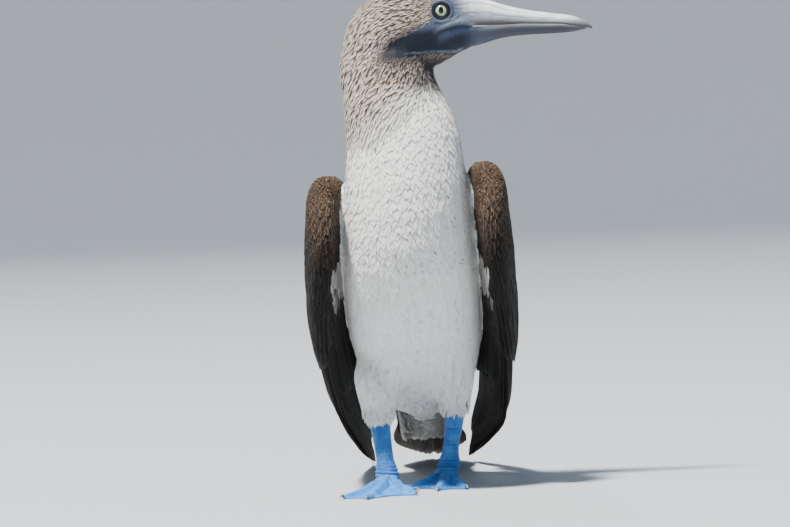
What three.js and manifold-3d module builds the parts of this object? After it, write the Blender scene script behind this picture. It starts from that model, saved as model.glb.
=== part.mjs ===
// A blue-footed booby, life size, standing with its body to the front and its head turned to its left.
// Millimetres, +Z up. The bird's chest faces -Y, its bill points to +X, and its feet stand on Z = 0.
import * as THREE from 'three';
import { mergeVertices } from 'three/addons/utils/BufferGeometryUtils.js';
import Module from 'manifold-3d';

const wasm = await Module();
wasm.setup();

// Driving sizes
const GAP = 0.3;
const MERGE = 1e-4;

const EYE = { x: 36, z: 406, radius: 8.5, opening: 5.8 };
const HEAD_Y = -24;
const LID = { rim: 1.9, proud: 1.1 };
const BILL_TIP_X = 164;

const BILL_CUT = { normal: [0.985, 0, 0.17], through: [56, 0, 396] };
const NECK_CUT = { normal: [0.412, 0, 0.911], through: [30, 0, 347] };
const SHOULDER_CUT = { normal: [0, -0.22, 0.975], through: [0, -40, 264] };

const VANE = 0.6;

const LEGS = [
  {
    name: 'right',
    hip: [-33, 14, 122],
    ankle: [-31, 8, 57],
    joint: [-26, -20, 11],
    toes: [58, 26, -14, -34],
  },
  {
    name: 'left',
    hip: [33, 36, 122],
    ankle: [34, 44, 60],
    joint: [26, 38, 11],
    toes: [-74, -42, -8, 12],
  },
];
const TOE_LENGTHS = [27, 56, 74, 70];
const CLAW_LENGTHS = [8, 8, 10, 8];

// The hind body swings a little to the bird's left, as a share of the way back from the chest.
const SWING = { from: -40, share: 0.046 };

const TAIL = { root: [0, 128, 70], middle: [0, 222, 37], tip: [0, 332, 2.2], feathers: 6 };

// Solids

// Gives a geometry's mesh as a solid, its faces turned outwards.
function solidFrom(geometry) {
  const bare = geometry.clone();
  bare.deleteAttribute('normal');
  bare.deleteAttribute('uv');
  const merged = mergeVertices(bare, MERGE);
  const corners = [];
  for (let i = 0; i < merged.index.count; i += 3) {
    const [a, b, c] = [0, 1, 2].map((k) => merged.index.getX(i + k));
    if (a !== b && b !== c && c !== a) corners.push(a, b, c);
  }
  const vertProperties = merged.attributes.position.array;
  const made = (order) =>
    new wasm.Manifold(new wasm.Mesh({ numProp: 3, vertProperties, triVerts: new Uint32Array(order) }));
  const solid = made(corners);
  if (solid.volume() > 0) return solid;
  const turned = [];
  for (let i = 0; i < corners.length; i += 3) turned.push(corners[i], corners[i + 2], corners[i + 1]);
  return made(turned);
}

// Gives a solid back as a geometry for a mesh.
function geometryFrom(solid) {
  const mesh = solid.getMesh();
  const count = mesh.numVert;
  const points = new Float32Array(count * 3);
  for (let i = 0; i < count; i++) {
    for (let k = 0; k < 3; k++) points[i * 3 + k] = mesh.vertProperties[i * mesh.numProp + k];
  }
  const geometry = new THREE.BufferGeometry();
  geometry.setAttribute('position', new THREE.BufferAttribute(points, 3));
  geometry.setIndex(new THREE.BufferAttribute(new Uint32Array(mesh.triVerts), 1));
  return geometry;
}

// A closed tube from pole to pole: a sphere's grid, each point placed by its turn and its share along.
function loft(around, along, place) {
  const geometry = new THREE.SphereGeometry(1, around, along);
  const position = geometry.attributes.position;
  for (let i = 0; i < position.count; i++) {
    const turn = ((i % (around + 1)) % around) / around;
    const share = Math.floor(i / (around + 1)) / along;
    const p = place(turn * 2 * Math.PI, share);
    position.setXYZ(i, p.x, p.y, p.z);
  }
  return solidFrom(geometry);
}

// A closed plate, its faces split alike: place(s, e, side) has s along from 0 to 1 and e across from -1 to 1.
function plate(columns, rows, place) {
  const grid = new THREE.PlaneGeometry(1, 1, columns, rows);
  const count = grid.attributes.position.count;
  const points = new Float32Array(count * 6);
  for (let i = 0; i < count; i++) {
    const e = ((i % (columns + 1)) / columns) * 2 - 1;
    const s = Math.floor(i / (columns + 1)) / rows;
    place(s, e, 1).toArray(points, i * 3);
    place(s, e, -1).toArray(points, (count + i) * 3);
  }
  const face = Array.from(grid.index.array);
  const order = [...face];
  for (let i = 0; i < face.length; i += 3) {
    order.push(count + face[i], count + face[i + 2], count + face[i + 1]);
  }
  const rim = [];
  for (let c = 0; c < columns; c++) rim.push(c);
  for (let r = 0; r < rows; r++) rim.push(r * (columns + 1) + columns);
  for (let c = columns; c > 0; c--) rim.push(rows * (columns + 1) + c);
  for (let r = rows; r > 0; r--) rim.push(r * (columns + 1));
  rim.forEach((a, i) => {
    const b = rim[(i + 1) % rim.length];
    order.push(a, b, count + b, a, count + b, count + a);
  });
  const geometry = new THREE.BufferGeometry();
  geometry.setAttribute('position', new THREE.BufferAttribute(points, 3));
  geometry.setIndex(order);
  return solidFrom(geometry);
}

// The same solid, each face moved out by a small distance.
function grown(solid, distance) {
  const geometry = geometryFrom(solid);
  geometry.computeVertexNormals();
  const { position, normal } = geometry.attributes;
  for (let i = 0; i < position.count; i++) {
    position.setXYZ(
      i,
      position.getX(i) + normal.getX(i) * distance,
      position.getY(i) + normal.getY(i) * distance,
      position.getZ(i) + normal.getZ(i) * distance,
    );
  }
  return solidFrom(geometry);
}

// The largest closed body of a solid, so that no loose scrap is left.
function largest(solid) {
  const bodies = solid.decompose();
  return bodies.reduce((best, body) => (body.volume() > best.volume() ? body : best));
}

function joined(pieces) {
  return pieces.reduce((sum, piece) => sum.add(piece));
}

// Parts a solid by a plane into what lies before and behind it, half a gap from the plane each.
function parted(solid, cut) {
  const normal = new THREE.Vector3(...cut.normal).normalize();
  const offset = normal.dot(new THREE.Vector3(...cut.through));
  const back = normal.clone().negate();
  return [
    largest(solid.trimByPlane(normal.toArray(), offset + GAP / 2)),
    largest(solid.trimByPlane(back.toArray(), -offset + GAP / 2)),
  ];
}

// A smooth run through rows of numbers, read by a share from 0 to 1.
function runThrough(rows) {
  const size = rows[0].length;
  const curves = [];
  for (let k = 0; k < size; k += 3) {
    const points = rows.map((row) => new THREE.Vector3(row[k], row[k + 1] ?? 0, row[k + 2] ?? 0));
    curves.push(new THREE.CatmullRomCurve3(points, false, 'catmullrom', 0.5));
  }
  return (share) => curves.flatMap((curve) => curve.getPoint(share).toArray()).slice(0, size);
}

// Moves a point of the hind body sideways by the swing.
function swung(point) {
  return point.setX(point.x + SWING.share * Math.max(0, point.y - SWING.from));
}

// Torso, neck and head

// Stations from the rump to the top of the neck: centre x, y, z, half width, and depth to the back and belly.
const BODY = runThrough([
  [0, 154, 59, 0, 0, 0],
  [0, 142, 65, 20, 13, 11],
  [0, 112, 78, 38, 31, 25],
  [0, 76, 100, 52, 47, 41],
  [0, 38, 132, 58, 58, 55],
  [0, 2, 172, 60, 64, 65],
  [0, -24, 212, 58, 59, 67],
  [0, -37, 248, 55, 50, 60],
  [0, -40, 282, 51, 47, 51],
  [-2, -36, 314, 48, 44, 44],
  [-10, -30, 342, 42, 40, 37],
  [-14, -26, 366, 39, 36, 33],
  [-13, -24, 388, 26, 24, 22],
  [-13, -24, 398, 0, 0, 0],
]);

function bodyPoint(turn, share) {
  const step = 0.01;
  const [x, y, z, width, back, belly] = BODY(share);
  const before = BODY(Math.max(0, share - step));
  const after = BODY(Math.min(1, share + step));
  const along = new THREE.Vector3(0, after[1] - before[1], after[2] - before[2]).normalize();
  const up = new THREE.Vector3(0, along.z, -along.y);
  const depth = Math.sin(turn) > 0 ? back : belly;
  const point = new THREE.Vector3(x + width * Math.cos(turn), y, z);
  return swung(point.addScaledVector(up, depth * Math.sin(turn)));
}

// Stations of the head and bill from nape to tip: centre x and z, half height up and down, half width.
const HEAD = runThrough([
  [-51, 372, 0, 0, 0],
  [-45, 374, 20, 18, 18],
  [-34, 377, 34, 30, 29],
  [-16, 382, 42, 40, 33],
  [4, 387, 43, 38, 30],
  [22, 391, 38, 34, 26.5],
  [36, 393, 33, 32, 23.5],
  [48, 395, 27, 26, 19.5],
  [60, 396, 22.5, 22, 16],
  [76, 396, 18, 16, 13.5],
  [92, 395, 13.5, 12, 11],
  [110, 393.5, 10.3, 9.6, 9],
  [130, 392.6, 7.8, 8.6, 7.4],
  [147, 391, 6.6, 6.6, 5.8],
  [158, 389, 4.4, 3.2, 3.6],
  [BILL_TIP_X, 387.6, 0, 0, 0],
]);

function headPoint(turn, share) {
  const [x, z, up, down, width] = HEAD(share);
  const height = Math.sin(turn) > 0 ? up : down;
  return new THREE.Vector3(x, HEAD_Y + width * Math.cos(turn), z + height * Math.sin(turn));
}

function ball(radius, centre, around, along) {
  return solidFrom(new THREE.SphereGeometry(radius, around, along).translate(...centre));
}

// Where an eye's centre lies on one side, deep enough for its opening to sit level with the cheek.
function eyeCentre(side) {
  const cheek = 21.4;
  return [EYE.x, HEAD_Y + side * (cheek + LID.proud - EYE.radius), EYE.z];
}

function lidRing(side) {
  const inset = Math.sqrt(EYE.radius ** 2 - EYE.opening ** 2);
  const [x, y, z] = eyeCentre(side);
  const ring = new THREE.TorusGeometry(EYE.opening + LID.rim * 0.72, LID.rim, 6, 16);
  return solidFrom(ring.rotateX(Math.PI / 2).translate(x, y + side * (inset - 0.2), z));
}

// The mouth: a thin wall on the line between the mandibles, from the gape to under the hooked tip.
function mouthWall() {
  const line = runThrough([
    [50, 391.2],
    [62, 392.4],
    [103, 392.4],
    [138, 390.8],
    [151, 388.6],
    [168, 384.6],
  ]);
  const steps = 14;
  const outline = new THREE.Shape();
  for (let i = 0; i <= steps; i++) {
    const [x, z] = line(i / steps);
    if (i === 0) outline.moveTo(x, z + GAP / 2);
    else outline.lineTo(x, z + GAP / 2);
  }
  for (let i = steps; i >= 0; i--) {
    const [x, z] = line(i / steps);
    outline.lineTo(x, z - GAP / 2);
  }
  const depth = 60;
  const wall = new THREE.ExtrudeGeometry(outline, { depth, bevelEnabled: false });
  return solidFrom(wall.rotateX(Math.PI / 2).translate(0, HEAD_Y + depth / 2, 0));
}

// The gape runs back from the bill under the eye as a raised lip of skin on each cheek.
function gapeLip(side) {
  const route = runThrough([
    [66, side * 14.6, 392.8],
    [58, side * 16.9, 395.4],
    [47, side * 20.2, 395.2],
    [36, side * 22.8, 391.4],
  ]);
  const size = 1.9;
  return loft(6, 8, (turn, share) => {
    const [x, y, z] = route(share);
    const r = size * Math.sqrt(Math.max(0, 1 - (2 * share - 1) ** 2));
    return new THREE.Vector3(x, HEAD_Y + y + r * Math.cos(turn) * 0.8, z + r * Math.sin(turn));
  });
}

function makeFlesh() {
  const body = loft(24, 26, bodyPoint);
  const face = joined([loft(20, 28, headPoint), ...[-1, 1].map(lidRing), ...[-1, 1].map(gapeLip)]);
  const [bill, skull] = parted(face, BILL_CUT);
  const mandibles = bill.subtract(mouthWall()).decompose();
  mandibles.sort((a, b) => b.boundingBox().max[2] - a.boundingBox().max[2]);
  const sockets = [-1, 1].map((side) => ball(EYE.radius + GAP, eyeCentre(side), 14, 8));
  const whole = sockets.reduce((rest, socket) => rest.subtract(socket), skull.add(body));
  const [head, rest] = parted(whole, NECK_CUT);
  const [neck, torso] = parted(rest, SHOULDER_CUT);
  return { head, neck, torso, bill_upper: mandibles[0], bill_lower: mandibles[1] };
}

// Wings

// Stations of the left wing from wrist to tip: centre, half width across, half thickness, lean in degrees.
const WING = runThrough([
  [68, -56, 273, 0, 0, 8],
  [70, -50, 264, 24, 11, 10],
  [70, -34, 236, 43, 14, 13],
  [70, -12, 202, 51, 14.5, 18],
  [67, 28, 160, 51, 13, 25],
  [60, 74, 122, 45, 10, 32],
  [56, 124, 90, 36, 7.5, 36],
  [54, 182, 60, 25, 5, 36],
  [52, 236, 35, 16, 3, 32],
  [48, 284, 15, 9, 1.6, 30],
]);
const WING_LENGTH = 425;
const WING_CAMBER = 0.2;
const WRIST_DROP = 7;

// The wing's outer or inner skin: u from wrist to tip, v from the leading edge at -1 to the back at 1.
function wingPoint(u, v, face) {
  const step = 0.01;
  const [x, y, z, across, thick, lean] = WING(u);
  const before = new THREE.Vector3(...WING(Math.max(0, u - step)).slice(0, 3));
  const after = new THREE.Vector3(...WING(Math.min(1, u + step)).slice(0, 3));
  const along = after.sub(before).normalize();
  const tip = THREE.MathUtils.degToRad(lean);
  const up = new THREE.Vector3(-Math.sin(tip), 0.7 * Math.cos(tip), 0.7 * Math.cos(tip));
  up.addScaledVector(along, -up.dot(along)).normalize();
  const out = new THREE.Vector3().crossVectors(up, along).normalize();
  if (out.x < 0) out.negate();
  const full = Math.max(0, 1 - Math.abs(v) ** 2.4) ** 0.5;
  return new THREE.Vector3(x, y, z)
    .addScaledVector(up, across * v)
    .addScaledVector(out, face * thick * full - WING_CAMBER * across * v * v);
}

// The outer skin's way out, found from its slopes.
function wingOut(u, v) {
  const du = 0.01;
  const dv = 0.05;
  const near = Math.min(0.9, Math.max(-0.9, v));
  const mid = Math.min(0.98, Math.max(0.02, u));
  const slope = wingPoint(mid + du, near, 1).sub(wingPoint(mid - du, near, 1));
  const side = wingPoint(mid, near + dv, 1).sub(wingPoint(mid, near - dv, 1));
  return side.cross(slope).normalize();
}

// The wing's flesh and small feathers, shut at its end below the primaries.
function wingCore(end) {
  const around = 12;
  const along = 11;
  const shutting = 0.9;
  return loft(around, along, (turn, share) => {
    const u = share * end;
    const v = Math.cos(turn);
    const face = Math.sin(turn) >= 0 ? 1 : -1;
    const [, , , across, thick] = WING(u);
    const shut = share > shutting ? Math.sqrt((1 - share) / (1 - shutting)) : 1;
    const centre = wingPoint(u, 0, 0);
    const edge = wingPoint(u, v * 0.999, face * Math.abs(Math.sin(turn)) ** 0.3);
    return across * thick === 0 || shut === 0 ? centre : centre.lerp(edge, shut);
  });
}

// A vane's half width at a share of its length, for a full half width of 1 and an end as blunt as `point`.
function vaneHalf(share, point) {
  const widest = 0.68;
  if (share < widest) return 0.62 + (0.38 * share) / widest;
  return 1 - (1 - point) * ((share - widest) / (1 - widest)) ** 2;
}

// A feather laid on the wing: its root is sunk in the core, and it rises to its tip over what lies beyond.
function wingVane({ u, v, drift, length, width, face, sink, low, lift, tilt, rows, point }) {
  const rise = 0.24;
  return plate(2, rows, (s, e, side) => {
    const row = s * rows;
    const share = row <= 1 ? row * rise : rise + ((1 - rise) * (row - 1)) / (rows - 1);
    const at = u + (share * length) / WING_LENGTH;
    const half = (width / 2) * vaneHalf(share, point);
    const across = Math.max(WING(Math.min(1, at))[3], 8);
    const place = v + drift * share + (e * half) / across;
    const base = wingPoint(Math.min(1, at), THREE.MathUtils.clamp(place, -0.985, 0.985), face);
    const risen = Math.min(1, share / rise);
    const gone = Math.max(0, share - rise) / (1 - rise);
    const level = low - (sink + low) * (1 - risen) + (lift - low) * gone;
    const ridge = e === 0 ? 0.25 : 0;
    const height = level - tilt * e + ridge + side * (VANE / 2);
    const beyond = Math.max(0, at - 1) * WING_LENGTH;
    const along = wingPoint(1, 0, 0).sub(wingPoint(0.95, 0, 0)).normalize();
    return base.addScaledVector(wingOut(at, place), height).addScaledVector(along, beyond);
  });
}

// Tiers from the wrist back: lesser and median coverts, greater coverts, then secondaries and tertials.
const TIERS = [
  { u: 0.05, from: -0.45, to: 0.45, count: 3, length: 44, width: 22 },
  { u: 0.11, from: -0.66, to: 0.66, count: 4, length: 46, width: 27 },
  { u: 0.18, from: -0.7, to: 0.7, count: 4, length: 50, width: 31 },
  { u: 0.26, from: -0.7, to: 0.7, count: 4, length: 56, width: 31 },
  { u: 0.35, from: -0.7, to: 0.7, count: 4, length: 64, width: 30 },
  { u: 0.45, from: -0.3, to: 0.74, count: 4, length: 104, width: 25 },
];
const TIER_LIE = { drift: 0, face: 1, sink: 2.6, low: 0.8, lift: 2.4, tilt: 0.5, rows: 3, point: 0.35 };

function wingFeathers() {
  const made = TIERS.flatMap(({ u, from, to, count, ...sizes }) =>
    Array.from({ length: count }, (_, i) => {
      const share = i / (count - 1);
      const back = 0.02 * Math.sin(share * Math.PI);
      return wingVane({ ...TIER_LIE, ...sizes, u: u + back, v: from + (to - from) * share });
    }),
  );
  const primaries = 6;
  const ply = 0.95;
  for (let i = 0; i < primaries; i++) {
    const share = i / (primaries - 1);
    const root = 0.52;
    const tip = 1.0 - 0.24 * share;
    const level = ply * (i - (primaries - 1) / 2);
    made.push(
      wingVane({
        u: root,
        v: -0.5 + 0.42 * share,
        drift: 0.5 - 0.25 * share,
        length: (tip - root) * WING_LENGTH,
        width: 20,
        face: 0,
        sink: -level,
        low: level,
        lift: level,
        tilt: 0.15,
        rows: 4,
        point: 0.25,
      }),
    );
  }
  return made;
}

// The finished wing from the left wing's solid, its wrist lowered a little where the photo shows it lower.
function posedWing(solid, side, drop) {
  const geometry = geometryFrom(solid);
  const position = geometry.attributes.position;
  for (let i = 0; i < position.count; i++) {
    const share = THREE.MathUtils.clamp((position.getZ(i) - 120) / 160, 0, 1);
    const point = new THREE.Vector3().fromBufferAttribute(position, i);
    point.x *= side;
    point.z -= drop * share;
    position.setXYZ(i, ...swung(point).toArray());
  }
  return solidFrom(geometry);
}

function makeWings(torsoClear) {
  const whole = joined([wingCore(0.7), ...wingFeathers()]);
  return {
    wing_left: largest(posedWing(whole, 1, 0).subtract(torsoClear)),
    wing_right: largest(posedWing(whole, -1, WRIST_DROP).subtract(torsoClear)),
  };
}

// Tail

const TAIL_LINE = runThrough([TAIL.root, TAIL.middle, TAIL.tip]);

// A point of the tail's fan, `share` along its middle line, `side` mm off it and `height` mm above it.
function tailPoint(share, side, height) {
  const [, y, z] = TAIL_LINE(share);
  const rise = 0.92 * height - 0.0045 * side * side * (1 - share);
  return swung(new THREE.Vector3(side, y + 0.3 * height, z + rise));
}

function tailCore(end) {
  return loft(12, 8, (turn, share) => {
    const at = share * end;
    const near = 0.08;
    const full = Math.sqrt(share < near ? share / near : Math.max(0, 1 - ((share - near) / (1 - near)) ** 3));
    const width = (25 + 3 * share) * full;
    const thick = (15 - 12 * share ** 0.7) * full;
    return tailPoint(at, width * Math.cos(turn), thick * Math.sin(turn) - 2);
  });
}

function tailVane(step, side) {
  const share = step / TAIL.feathers;
  const root = 0.3;
  const tip = 1 - 0.3 * share ** 1.3;
  const start = side * (2 + 16 * share);
  const finish = side * (5 + 27 * share);
  return plate(2, 4, (s, e, face) => {
    const at = root + (tip - root) * s;
    const half = 9.5 * (s < 0.5 ? 0.7 + 0.6 * s : 1 - 0.8 * (2 * s - 1) ** 2.2);
    const off = start + (finish - start) * s + e * half;
    const tilt = -side * e * 0.6;
    const level = 1.4 - 1.15 * step;
    const height = level * s + tilt + (e === 0 ? 0.3 : 0) - 1.2 * (1 - s) + face * (VANE / 2);
    return tailPoint(at, off, height);
  });
}

function makeTail(torsoClear) {
  const core = tailCore(0.55);
  const vanes = [];
  for (let step = 0; step < TAIL.feathers; step++) vanes.push(tailVane(step, 1), tailVane(step, -1));
  const whole = joined([core, ...vanes]);
  return largest(whole.subtract(torsoClear).trimByPlane([0, 0, 1], 0));
}

// Legs and feet

function rod(around, along, stations) {
  const line = runThrough(stations);
  return loft(around, along, (turn, share) => {
    const [x, y, z, wide, deep] = line(share);
    return new THREE.Vector3(x + wide * Math.cos(turn), y + deep * Math.sin(turn), z);
  });
}

// The feathered thigh, from inside the belly to its ragged hem above the ankle.
function makeThigh(leg) {
  const [hx, hy, hz] = leg.hip;
  const [ax, ay, az] = leg.ankle;
  const mix = (t) => [hx + (ax - hx) * t, hy + (ay - hy) * t, hz + (az + 2 - hz) * t];
  return rod(14, 9, [
    [...mix(0), 0, 0],
    [...mix(0.12), 16, 22],
    [...mix(0.4), 22, 30],
    [...mix(0.7), 19, 25],
    [...mix(0.92), 14, 17],
    [...mix(1.0), 9, 11],
    [...mix(1.03), 0, 0],
  ]);
}

function makeTarsus(leg) {
  const [ax, ay, az] = leg.ankle;
  const [jx, jy, jz] = leg.joint;
  const mix = (t) => [ax + (jx - ax) * t, ay + (jy - ay) * t, az + (jz - az) * t];
  return rod(12, 9, [
    [ax, ay, az + 14, 0, 0],
    [ax, ay, az + 11, 7.4, 8.4],
    [...mix(0), 9, 10],
    [...mix(0.25), 8, 9],
    [...mix(0.55), 7.4, 7.8],
    [...mix(0.82), 7.8, 7.8],
    [...mix(1.0), 8.6, 8.6],
    [jx, jy - 1, jz - 7, 5.6, 6.4],
    [jx, jy - 1, jz - 9, 0, 0],
  ]);
}

function toeHeading(degrees) {
  const turn = THREE.MathUtils.degToRad(degrees);
  return new THREE.Vector3(Math.sin(turn), -Math.cos(turn), 0);
}

// A toe's middle line at a share of its length: it comes down from the joint and flattens on the floor.
function toePoint(leg, toe, share) {
  const [x, y] = leg.joint;
  const fall = 10 * (1 - share) ** 2.2 + 3 - 1.2 * share;
  return new THREE.Vector3(x, y, fall).addScaledVector(toeHeading(leg.toes[toe]), TOE_LENGTHS[toe] * share);
}

function makeToe(leg, toe) {
  const heading = toeHeading(leg.toes[toe]);
  const side = new THREE.Vector3(-heading.y, heading.x, 0);
  return loft(6, 10, (turn, share) => {
    const knuckle = 1 + 0.16 * Math.cos(share * Math.PI * 6);
    const end = Math.sqrt(Math.max(0, 1 - Math.abs(2 * share - 1) ** 10));
    const wide = (5.6 - 2.4 * share) * knuckle * end;
    const deep = (4.2 - 1.7 * share) * knuckle * end;
    const p = toePoint(leg, toe, share).addScaledVector(side, wide * Math.cos(turn));
    return p.setZ(p.z + deep * Math.sin(turn));
  });
}

// The web between two toes, its front edge drawn back in an arc from tip to tip.
function makeWeb(leg, toe, draw) {
  return plate(4, 4, (s, e, face) => {
    const across = (e + 1) / 2;
    const edge = 0.97 - draw * Math.sin(across * Math.PI);
    const share = 0.05 + (edge - 0.05) * s;
    const a = toePoint(leg, toe, share);
    const b = toePoint(leg, toe + 1, share);
    const p = a.lerp(b, across);
    p.z = Math.max(0.7, p.z - 1.2 - 0.8 * Math.sin(across * Math.PI) * s) + face * 0.7;
    return p;
  });
}

function makeFoot(leg) {
  const [x, y, z] = leg.joint;
  const knob = ball(7.2, [x, y - 3, z - 4.6], 10, 6);
  const toes = TOE_LENGTHS.map((_, toe) => makeToe(leg, toe));
  const webs = [0.24, 0.2, 0.1].map((draw, toe) => makeWeb(leg, toe, draw));
  return joined([knob, ...toes, ...webs]).trimByPlane([0, 0, 1], 0);
}

function makeClaw(leg, toe) {
  const heading = toeHeading(leg.toes[toe]);
  const side = new THREE.Vector3(-heading.y, heading.x, 0);
  const start = toePoint(leg, toe, 0.97);
  const long = CLAW_LENGTHS[toe];
  return loft(6, 5, (turn, share) => {
    const end = Math.sqrt(Math.max(0, 1 - (1 - share) ** 8));
    const r = 2.1 * end * (1 - share) ** 0.7;
    const p = start.clone().addScaledVector(heading, long * (share - 0.2));
    p.addScaledVector(side, r * Math.cos(turn));
    p.z = Math.max(0, 2.2 - 1.1 * share ** 2 + 1.2 * Math.sin(share * Math.PI) + r * Math.sin(turn));
    return p;
  });
}

function makeLeg(leg, torsoClear) {
  const thigh = largest(makeThigh(leg).subtract(torsoClear));
  const foot = makeFoot(leg);
  const tarsusWhole = makeTarsus(leg);
  const tarsus = largest(tarsusWhole.subtract(grown(makeThigh(leg), GAP)).subtract(grown(foot, 1.5 * GAP)));
  const parts = { [`thigh_${leg.name}`]: thigh, [`tarsus_${leg.name}`]: tarsus };
  const footClear = grown(foot, 1.5 * GAP);
  parts[`foot_${leg.name}`] = foot;
  TOE_LENGTHS.forEach((_, toe) => {
    parts[`claw_${leg.name}_${toe + 1}`] = largest(makeClaw(leg, toe).subtract(footClear));
  });
  return parts;
}

// Finishes

function finish(colour, roughness) {
  return new THREE.MeshStandardMaterial({ color: colour, roughness, metalness: 0 });
}

const DOWN = finish(0xece9e4, 0.85);
const STREAKED = finish(0xb9a892, 0.85);
const BROWN = finish(0x4a3a2e, 0.8);
const SKIN = finish(0x6f86a3, 0.6);
const HORN = finish(0x8496a8, 0.4);
const BLUE = finish(0x4a9be0, 0.55);
const IRIS = finish(0xd9dc9c, 0.1);
const NAIL = finish(0x77787c, 0.45);

const FINISHES = {
  head: STREAKED,
  neck: STREAKED,
  torso: DOWN,
  thigh: DOWN,
  tail: BROWN,
  wing: BROWN,
  bill: HORN,
  eye: IRIS,
  tarsus: BLUE,
  foot: BLUE,
  claw: NAIL,
  skin: SKIN,
};

// The bird

function makeBird() {
  const flesh = makeFlesh();
  const torsoClear = grown(flesh.torso, GAP);
  const solids = {
    ...flesh,
    eye_right: ball(EYE.radius, eyeCentre(-1), 14, 8),
    eye_left: ball(EYE.radius, eyeCentre(1), 14, 8),
    ...makeWings(torsoClear),
    tail: makeTail(torsoClear),
    ...makeLeg(LEGS[0], torsoClear),
    ...makeLeg(LEGS[1], torsoClear),
  };
  const bird = new THREE.Group();
  for (const [name, solid] of Object.entries(solids)) {
    const mesh = new THREE.Mesh(geometryFrom(solid), FINISHES[name.split('_')[0]]);
    mesh.name = name;
    bird.add(mesh);
  }
  return bird;
}

// The origin is the middle of the bird's box, at the floor.
const bird = makeBird();
const box = new THREE.Box3().setFromObject(bird);
const centre = box.getCenter(new THREE.Vector3());
bird.position.set(-centre.x, -centre.y, -box.min.z);

export default bird;
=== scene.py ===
"""A blue-footed booby, life size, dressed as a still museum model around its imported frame.

Sizes are in millimetres on the bird's own axes: the chest faces -Y, the bill points to +X and the feet stand
on Z = 0. ``to_frame`` turns them into metres of the shared frame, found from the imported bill.
"""

import logging
import math
from dataclasses import dataclass, field
from enum import Enum
from typing import Callable, Optional, Sequence

import bpy
import numpy as np
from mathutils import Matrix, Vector
from mathutils.bvhtree import BVHTree
from mathutils.kdtree import KDTree


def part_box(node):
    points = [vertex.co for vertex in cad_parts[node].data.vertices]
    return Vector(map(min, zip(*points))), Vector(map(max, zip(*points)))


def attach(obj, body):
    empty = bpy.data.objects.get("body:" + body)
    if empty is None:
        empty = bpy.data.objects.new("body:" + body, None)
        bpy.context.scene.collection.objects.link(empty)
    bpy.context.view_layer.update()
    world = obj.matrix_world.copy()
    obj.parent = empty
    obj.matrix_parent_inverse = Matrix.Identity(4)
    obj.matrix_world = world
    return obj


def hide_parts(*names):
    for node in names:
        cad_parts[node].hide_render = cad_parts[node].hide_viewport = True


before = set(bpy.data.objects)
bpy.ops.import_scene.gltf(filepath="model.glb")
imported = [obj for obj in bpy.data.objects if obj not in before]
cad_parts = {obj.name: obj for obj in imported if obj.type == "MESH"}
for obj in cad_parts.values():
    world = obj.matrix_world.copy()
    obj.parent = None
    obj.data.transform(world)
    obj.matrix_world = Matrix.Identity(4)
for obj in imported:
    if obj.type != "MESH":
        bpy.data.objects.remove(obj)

LOG = logging.getLogger("booby")
MM = 0.001
SEED = 7
BILL_TIP_X = 164.0
HEAD_Y = -24.0
EYE_X, EYE_Z = 36.0, 406.0
EYE_RADIUS = 8.4
EYE_OPENING = 5.3
SOCKET_RADIUS = 10.6
CHEEK = 22.5
FLESH = ("head", "neck", "torso", "thigh_right", "thigh_left")
NEAR_ZERO, FAR = 1e-9, 1e9
MERGE_METRES = 1e-6
HEAD_SAMPLES = 600
LOWEST_FEATHER = 0.5
ROOT_DEPTH = 1.6
BAKE_PATCH = 0.003

Array = np.ndarray


def frame_origin() -> Array:
    """Find the bird's own origin in the shared frame, in metres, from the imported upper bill."""
    low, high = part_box("bill_upper")
    return np.array([high.x - BILL_TIP_X * MM, (low.y + high.y) / 2 - HEAD_Y * MM, 0.0])


ORIGIN = frame_origin()


def to_frame(points: Array) -> Array:
    """Turn rows of design millimetres into metres of the shared frame."""
    return np.asarray(points, float) * MM + ORIGIN


def to_design(points: Array) -> Array:
    """Turn rows of metres of the shared frame into design millimetres."""
    return (np.asarray(points, float) - ORIGIN) / MM


def smooth(low: float, high: float, value: Array) -> Array:
    """Step smoothly from 0 where the value is `low` to 1 where it is `high`."""
    t = np.clip((np.asarray(value, float) - low) / (high - low), 0, 1)
    return t * t * (3 - 2 * t)


def unit(vectors: Array) -> Array:
    """Scale rows of vectors to length 1."""
    return vectors / np.maximum(np.linalg.norm(vectors, axis=-1, keepdims=True), NEAR_ZERO)


def square_to(vectors: Array, way: Array) -> Array:
    """Turn vectors square to a way, at length 1."""
    return unit(vectors - (vectors * way).sum(-1, keepdims=True) * way)


def facing(vectors: Array, axis: int, sign: float = 1.0) -> Array:
    """Turn round those vectors that point away from an axis's positive or negative side."""
    return vectors * np.where(sign * vectors[..., axis:axis + 1] < 0, -1, 1)


def grid(rows: Array, columns: Array) -> tuple[Array, Array]:
    """Spread two runs of numbers over the rows and columns of a grid."""
    return np.meshgrid(rows, columns, indexing="ij")


def ring_turns(count: int) -> Array:
    """Space turns evenly round a closed ring."""
    return np.linspace(0, 2 * math.pi, count, endpoint=False)


def stacked(*parts: Array) -> Array:
    """Stack numbers in a last axis of their own, each spread over the shape of all."""
    return np.stack(np.broadcast_arrays(*parts), -1)


def tint(red: int, green: int, blue: int) -> tuple[float, float, float]:
    """Turn a screen colour from 0 to 255 into linear light."""
    def linear(value: int) -> float:
        """Undo the screen's curve for one channel."""
        share = value / 255
        return share / 12.92 if share <= 0.04045 else ((share + 0.055) / 1.055) ** 2.4

    return (linear(red), linear(green), linear(blue))


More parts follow.
